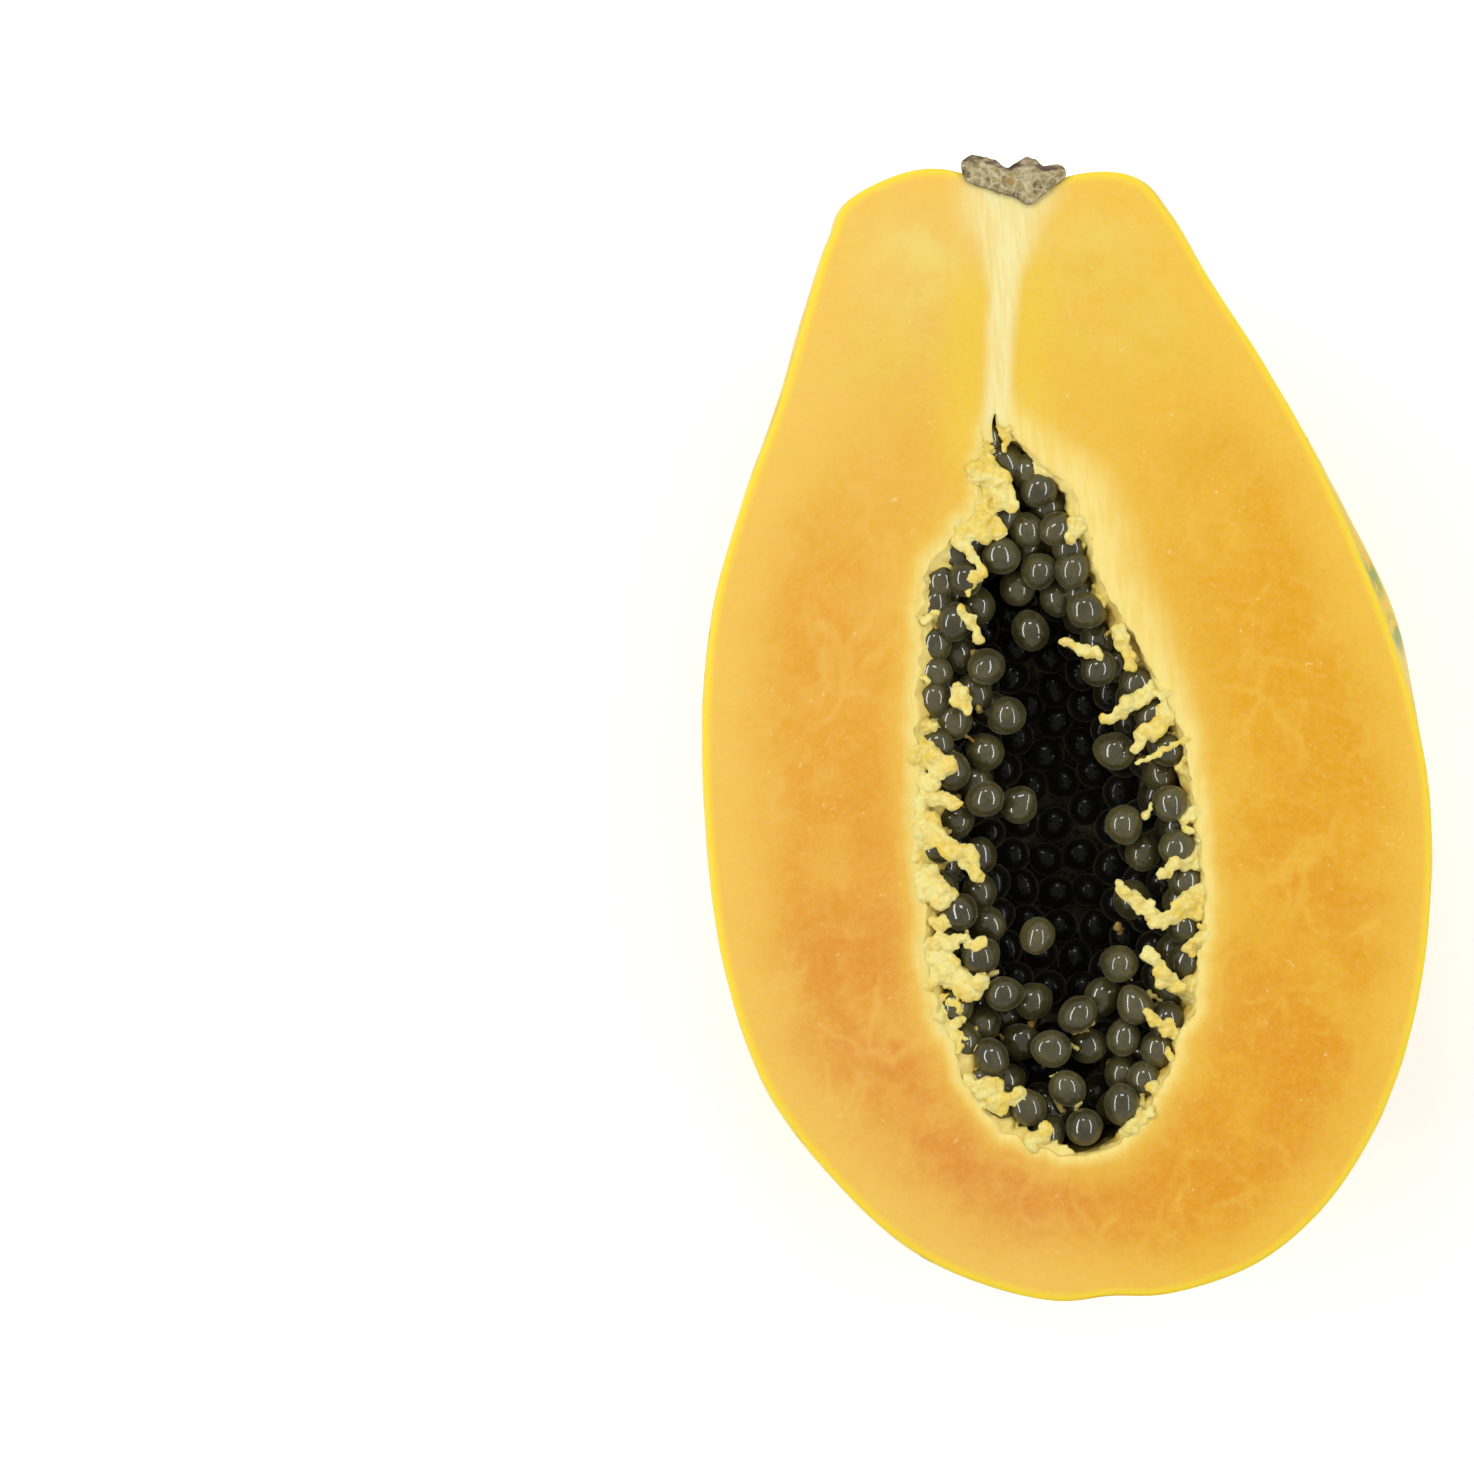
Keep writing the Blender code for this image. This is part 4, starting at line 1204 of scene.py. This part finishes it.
def melted(shape, voxel):
    """The same bodies with one common skin, where they overlap."""
    mesh = bpy.data.meshes.new("balls")
    shape.to_mesh(mesh)
    shape.free()
    balls = bpy.data.objects.new("balls", mesh)
    bpy.context.scene.collection.objects.link(balls)
    remesh = balls.modifiers.new("melt", "REMESH")
    remesh.mode = "VOXEL"
    remesh.voxel_size = voxel
    seen = balls.evaluated_get(bpy.context.evaluated_depsgraph_get())
    joined = bmesh.new()
    joined.from_mesh(seen.to_mesh())
    bpy.data.objects.remove(balls)
    bpy.data.meshes.remove(mesh)
    return joined


def tear(shape, reach, size, seed):
    """Pushes every point along its own normal by noise."""
    shift = Vector((seed, 2.0 * seed, 3.0 * seed))
    shape.normal_update()
    for vertex in shape.verts:
        vertex.co += vertex.normal * reach * noise.noise(vertex.co / size + shift)


placenta = bmesh.new()
for root, tip, width, thickness in FLAPS:
    ends = [(across, station, height + CUT_ABOVE_AXIS) for station, across, height in (root, tip)]
    grow_clump(placenta, *ends, width, thickness)
for lines in (rim_rag_lines(RIM_RAGS), crumb_lines(CRUMBS)):
    for clump in lines:
        grow_clump(placenta, *clump)
placenta = melted(placenta, REMESH_VOXEL)
for number, (reach, size) in enumerate(TEAR, start=1):
    tear(placenta, reach, size, 7.0 * number)
place_shape(placenta)
print(f"placenta: {len(FLAPS) + RIM_RAGS + CRUMBS} clumps, {2 * len(placenta.faces)} triangles")

# %% Make the placenta's finish


def make_placenta_finish():
    finish, tree, shader = new_finish("pale_placenta")
    place = add_node(tree, "ShaderNodeTexCoord").outputs["Object"]
    clouds = noise_texture(tree, place, 5.0, 4.0, 0.6)
    colour = blend(tree, soft_step(tree, clouds, 0.42, 0.64), (0.77, 0.67, 0.22), (0.75, 0.55, 0.07))
    juicy = soft_step(tree, noise_texture(tree, place, 1.5, 4.0, 0.65), 0.46, 0.62, 0.0, 0.70)
    colour = blend(tree, juicy, colour, (0.70, 0.47, 0.06))
    mask, height = grain(tree, 0.8, 1.0)
    colour = blend(tree, calculate(tree, "MULTIPLY", mask, 0.40), colour, (0.82, 0.75, 0.38))
    # Painted shade: the placenta turns dark brown the deeper it lies below the cut face.
    height_over_table = add_node(tree, "ShaderNodeSeparateXYZ", {0: place}).outputs["Z"]
    painted_depth_shade = soft_step(tree, height_over_table, (CUT_HEIGHT - 0.8) * MM, (CUT_HEIGHT - 5.0) * MM)
    colour = blend(tree, painted_depth_shade, colour, (0.22, 0.12, 0.02))
    tree.links.new(colour, shader.inputs["Base Color"])
    damp = soft_step(tree, noise_texture(tree, place, 2.5), 0.35, 0.65, 0.35, 0.60)
    tree.links.new(damp, shader.inputs["Roughness"])
    raised = add_node(tree, "ShaderNodeBump", {"Height": height, "Strength": 0.8, "Distance": 0.0004})
    tree.links.new(raised.outputs["Normal"], shader.inputs["Normal"])
    shader.inputs["IOR"].default_value = 1.36
    shader.inputs["Subsurface Weight"].default_value = 0.25
    shader.inputs["Subsurface Radius"].default_value = (1.0, 0.7, 0.25)
    shader.inputs["Subsurface Scale"].default_value = 0.0015
    return finish


piece_from("torn_placenta", placenta, (make_placenta_finish(),))

# %% [markdown]
# ## The corky stem stub
#
# What is left of the stalk is a dry plug as wide as a fingertip, cut through with the fruit. On the
# cut it is a crooked band: two rounded humps above with a notch between, a flat block on the right,
# and a shallow V below that runs down into the pale core. It is grown from half a ball with rings,
# as the fruit was, but with the ball's poles to the left and right, so that a short table can say
# where the band's lower and upper edges are.

# %% Shape the stem stub
# How far across, then the stations of the band's lower and upper edge.
STUB = (
    (-7.5, 165.9, 165.9),
    (-6.9, 164.0, 167.2),
    (-5.5, 163.1, 167.7),
    (-3.8, 162.4, 167.2),
    (-2.3, 161.8, 166.4),
    (-0.9, 161.3, 165.4),
    (0.4, 160.7, 166.1),
    (1.9, 159.6, 166.6),
    (3.3, 160.4, 166.2),
    (4.3, 161.1, 165.1),
    (5.6, 161.9, 165.0),
    (6.9, 162.7, 164.9),
    (7.6, 163.9, 163.9),
)
STUB_RINGS = 90
STUB_SEGMENTS = 36
STUB_FACE_RINGS = 24
STUB_RADIUS = 7.4
STUB_PROUD = 0.55
STUB_LUMPS = ((0.35, 3.0, 4.0), (0.28, 1.3, 5.0), (0.14, 0.6, 6.0))


def stub_place(turn, side, ring):
    low, high = read_outline(STUB, turn, 1), read_outline(STUB, turn, 2)
    across = station_at(turn, STUB[0][0], STUB[-1][0])
    half = np.maximum(0, high - low) / 2
    inwards = 1 - ring / STUB_FACE_RINGS
    station = (low + high) / 2 + half * np.cos(side) * inwards
    depth = np.sqrt(np.clip(STUB_RADIUS**2 - across**2, 0, None)) + 0.3
    height = CUT_ABOVE_AXIS + STUB_PROUD - depth * np.abs(np.sin(side)) ** 0.6
    places = np.stack((across, station, height), axis=1)
    lumps = sum(reach * rough(places, size, seed) for reach, size, seed in STUB_LUMPS)
    cut = ring > 0
    places[:, 2] += np.where(cut, np.clip(2.2 * lumps, -0.5, 0.4) * np.clip(inwards * 5, 0, 1), 0.0)
    outwards = np.stack((np.zeros_like(side), np.cos(side), np.sin(side)), axis=1)
    return places + outwards * np.where(cut, 0, lumps)[:, None]


stub = half_ball(STUB_RINGS, STUB_SEGMENTS)
grow_rings(stub, STUB_FACE_RINGS)
stub_turn, stub_side, stub_ring = read_layers(stub)
upper_edge = np.clip(np.cos(stub_side), 0, 1) * (1 - stub_ring / STUB_FACE_RINGS)
stub_values = {
    "cut": np.clip(stub_ring / 2, 0, 1),
    "from_rim": stub_ring / STUB_FACE_RINGS,
    "upper_edge": upper_edge,
}
store_values(stub, stub_values)
write_points(stub, stub_place(stub_turn, stub_side, stub_ring))
bmesh.ops.remove_doubles(stub, verts=stub.verts, dist=0.002 * MM)
point_faces_out(stub)
print(f"stub: {len(stub.faces)} faces, {sum(edge.is_boundary for edge in stub.edges)} open edges")

# %% Make the cork


def ridge_pattern(tree, place):
    """1 on the thin pale ridges between the cork's small hollows."""
    inputs = {"Vector": place, "Scale": 620.0}
    net = add_node(tree, "ShaderNodeTexVoronoi", inputs, feature="DISTANCE_TO_EDGE")
    return soft_step(tree, net.outputs["Distance"], 0.03, 0.14, 0.6, 0.0)


def make_cork():
    finish, tree, shader = new_finish("corky_stem")
    place = add_node(tree, "ShaderNodeTexCoord").outputs["Object"]
    sponge = noise_texture(tree, place, 1.8, 5.0, 0.7, 0.8)
    bands = noise_texture(tree, stretched_place(tree, (0.35, 1.6, 1.0), math.radians(-12)), 1.4, 3.0)
    rind = blend(tree, soft_step(tree, bands, 0.38, 0.62), (0.11, 0.075, 0.050), (0.46, 0.36, 0.20))
    section = blend(tree, soft_step(tree, sponge, 0.34, 0.46), (0.10, 0.065, 0.025), (0.37, 0.30, 0.13))
    section = blend(tree, soft_step(tree, sponge, 0.50, 0.62), section, (0.60, 0.52, 0.31))
    greenish = soft_step(tree, noise_texture(tree, place, 3.6, 3.0), 0.52, 0.64, 0.0, 0.5)
    section = blend(tree, greenish, section, (0.36, 0.36, 0.13))
    section = blend(tree, ridge_pattern(tree, place), section, (0.64, 0.56, 0.36))
    section = blend(tree, soft_step(tree, attribute(tree, "upper_edge"), 0.52, 0.72), section, rind)
    heart_place = stretched_place(tree, (0.42, 1.0, 1.0), 0.0)
    heart_middle = (-0.9 * 0.42 * MM, (BLOSSOM_Y + 163.3) * MM, CUT_HEIGHT * MM)
    heart = ball_mask(tree, heart_place, heart_middle, 0.0005, 0.0009)
    section = blend(tree, heart, section, (0.42, 0.24, 0.07))
    rim_line = soft_step(tree, attribute(tree, "from_rim"), 0.0, 0.14, 0.75, 0.0)
    section = blend(tree, rim_line, section, (0.14, 0.09, 0.06))
    colour = blend(tree, attribute(tree, "cut"), rind, section)
    mask, height = grain(tree, 0.7, 1.0)
    colour = blend(tree, calculate(tree, "MULTIPLY", mask, 0.20), colour, (0.10, 0.07, 0.04))
    tree.links.new(colour, shader.inputs["Base Color"])
    dry = soft_step(tree, sponge, 0.35, 0.65, 0.75, 0.95)
    tree.links.new(dry, shader.inputs["Roughness"])
    relief = calculate(tree, "ADD", height, sponge)
    raised = add_node(tree, "ShaderNodeBump", {"Height": relief, "Strength": 0.9, "Distance": 0.0005})
    tree.links.new(raised.outputs["Normal"], shader.inputs["Normal"])
    return finish


piece_from("corky_stem_stub", stub, (make_cork(),), node="stem_stub")

# %% [markdown]
# ## Measure
#
# The box of the measured model and the box of the dressed fruit are both printed.

# %% Print both sizes
dressed_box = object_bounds()
for name, (low, high) in (("model", model_box), ("dressed", dressed_box)):
    print(name, [round(side / MM, 1) for side in high - low], "mm")
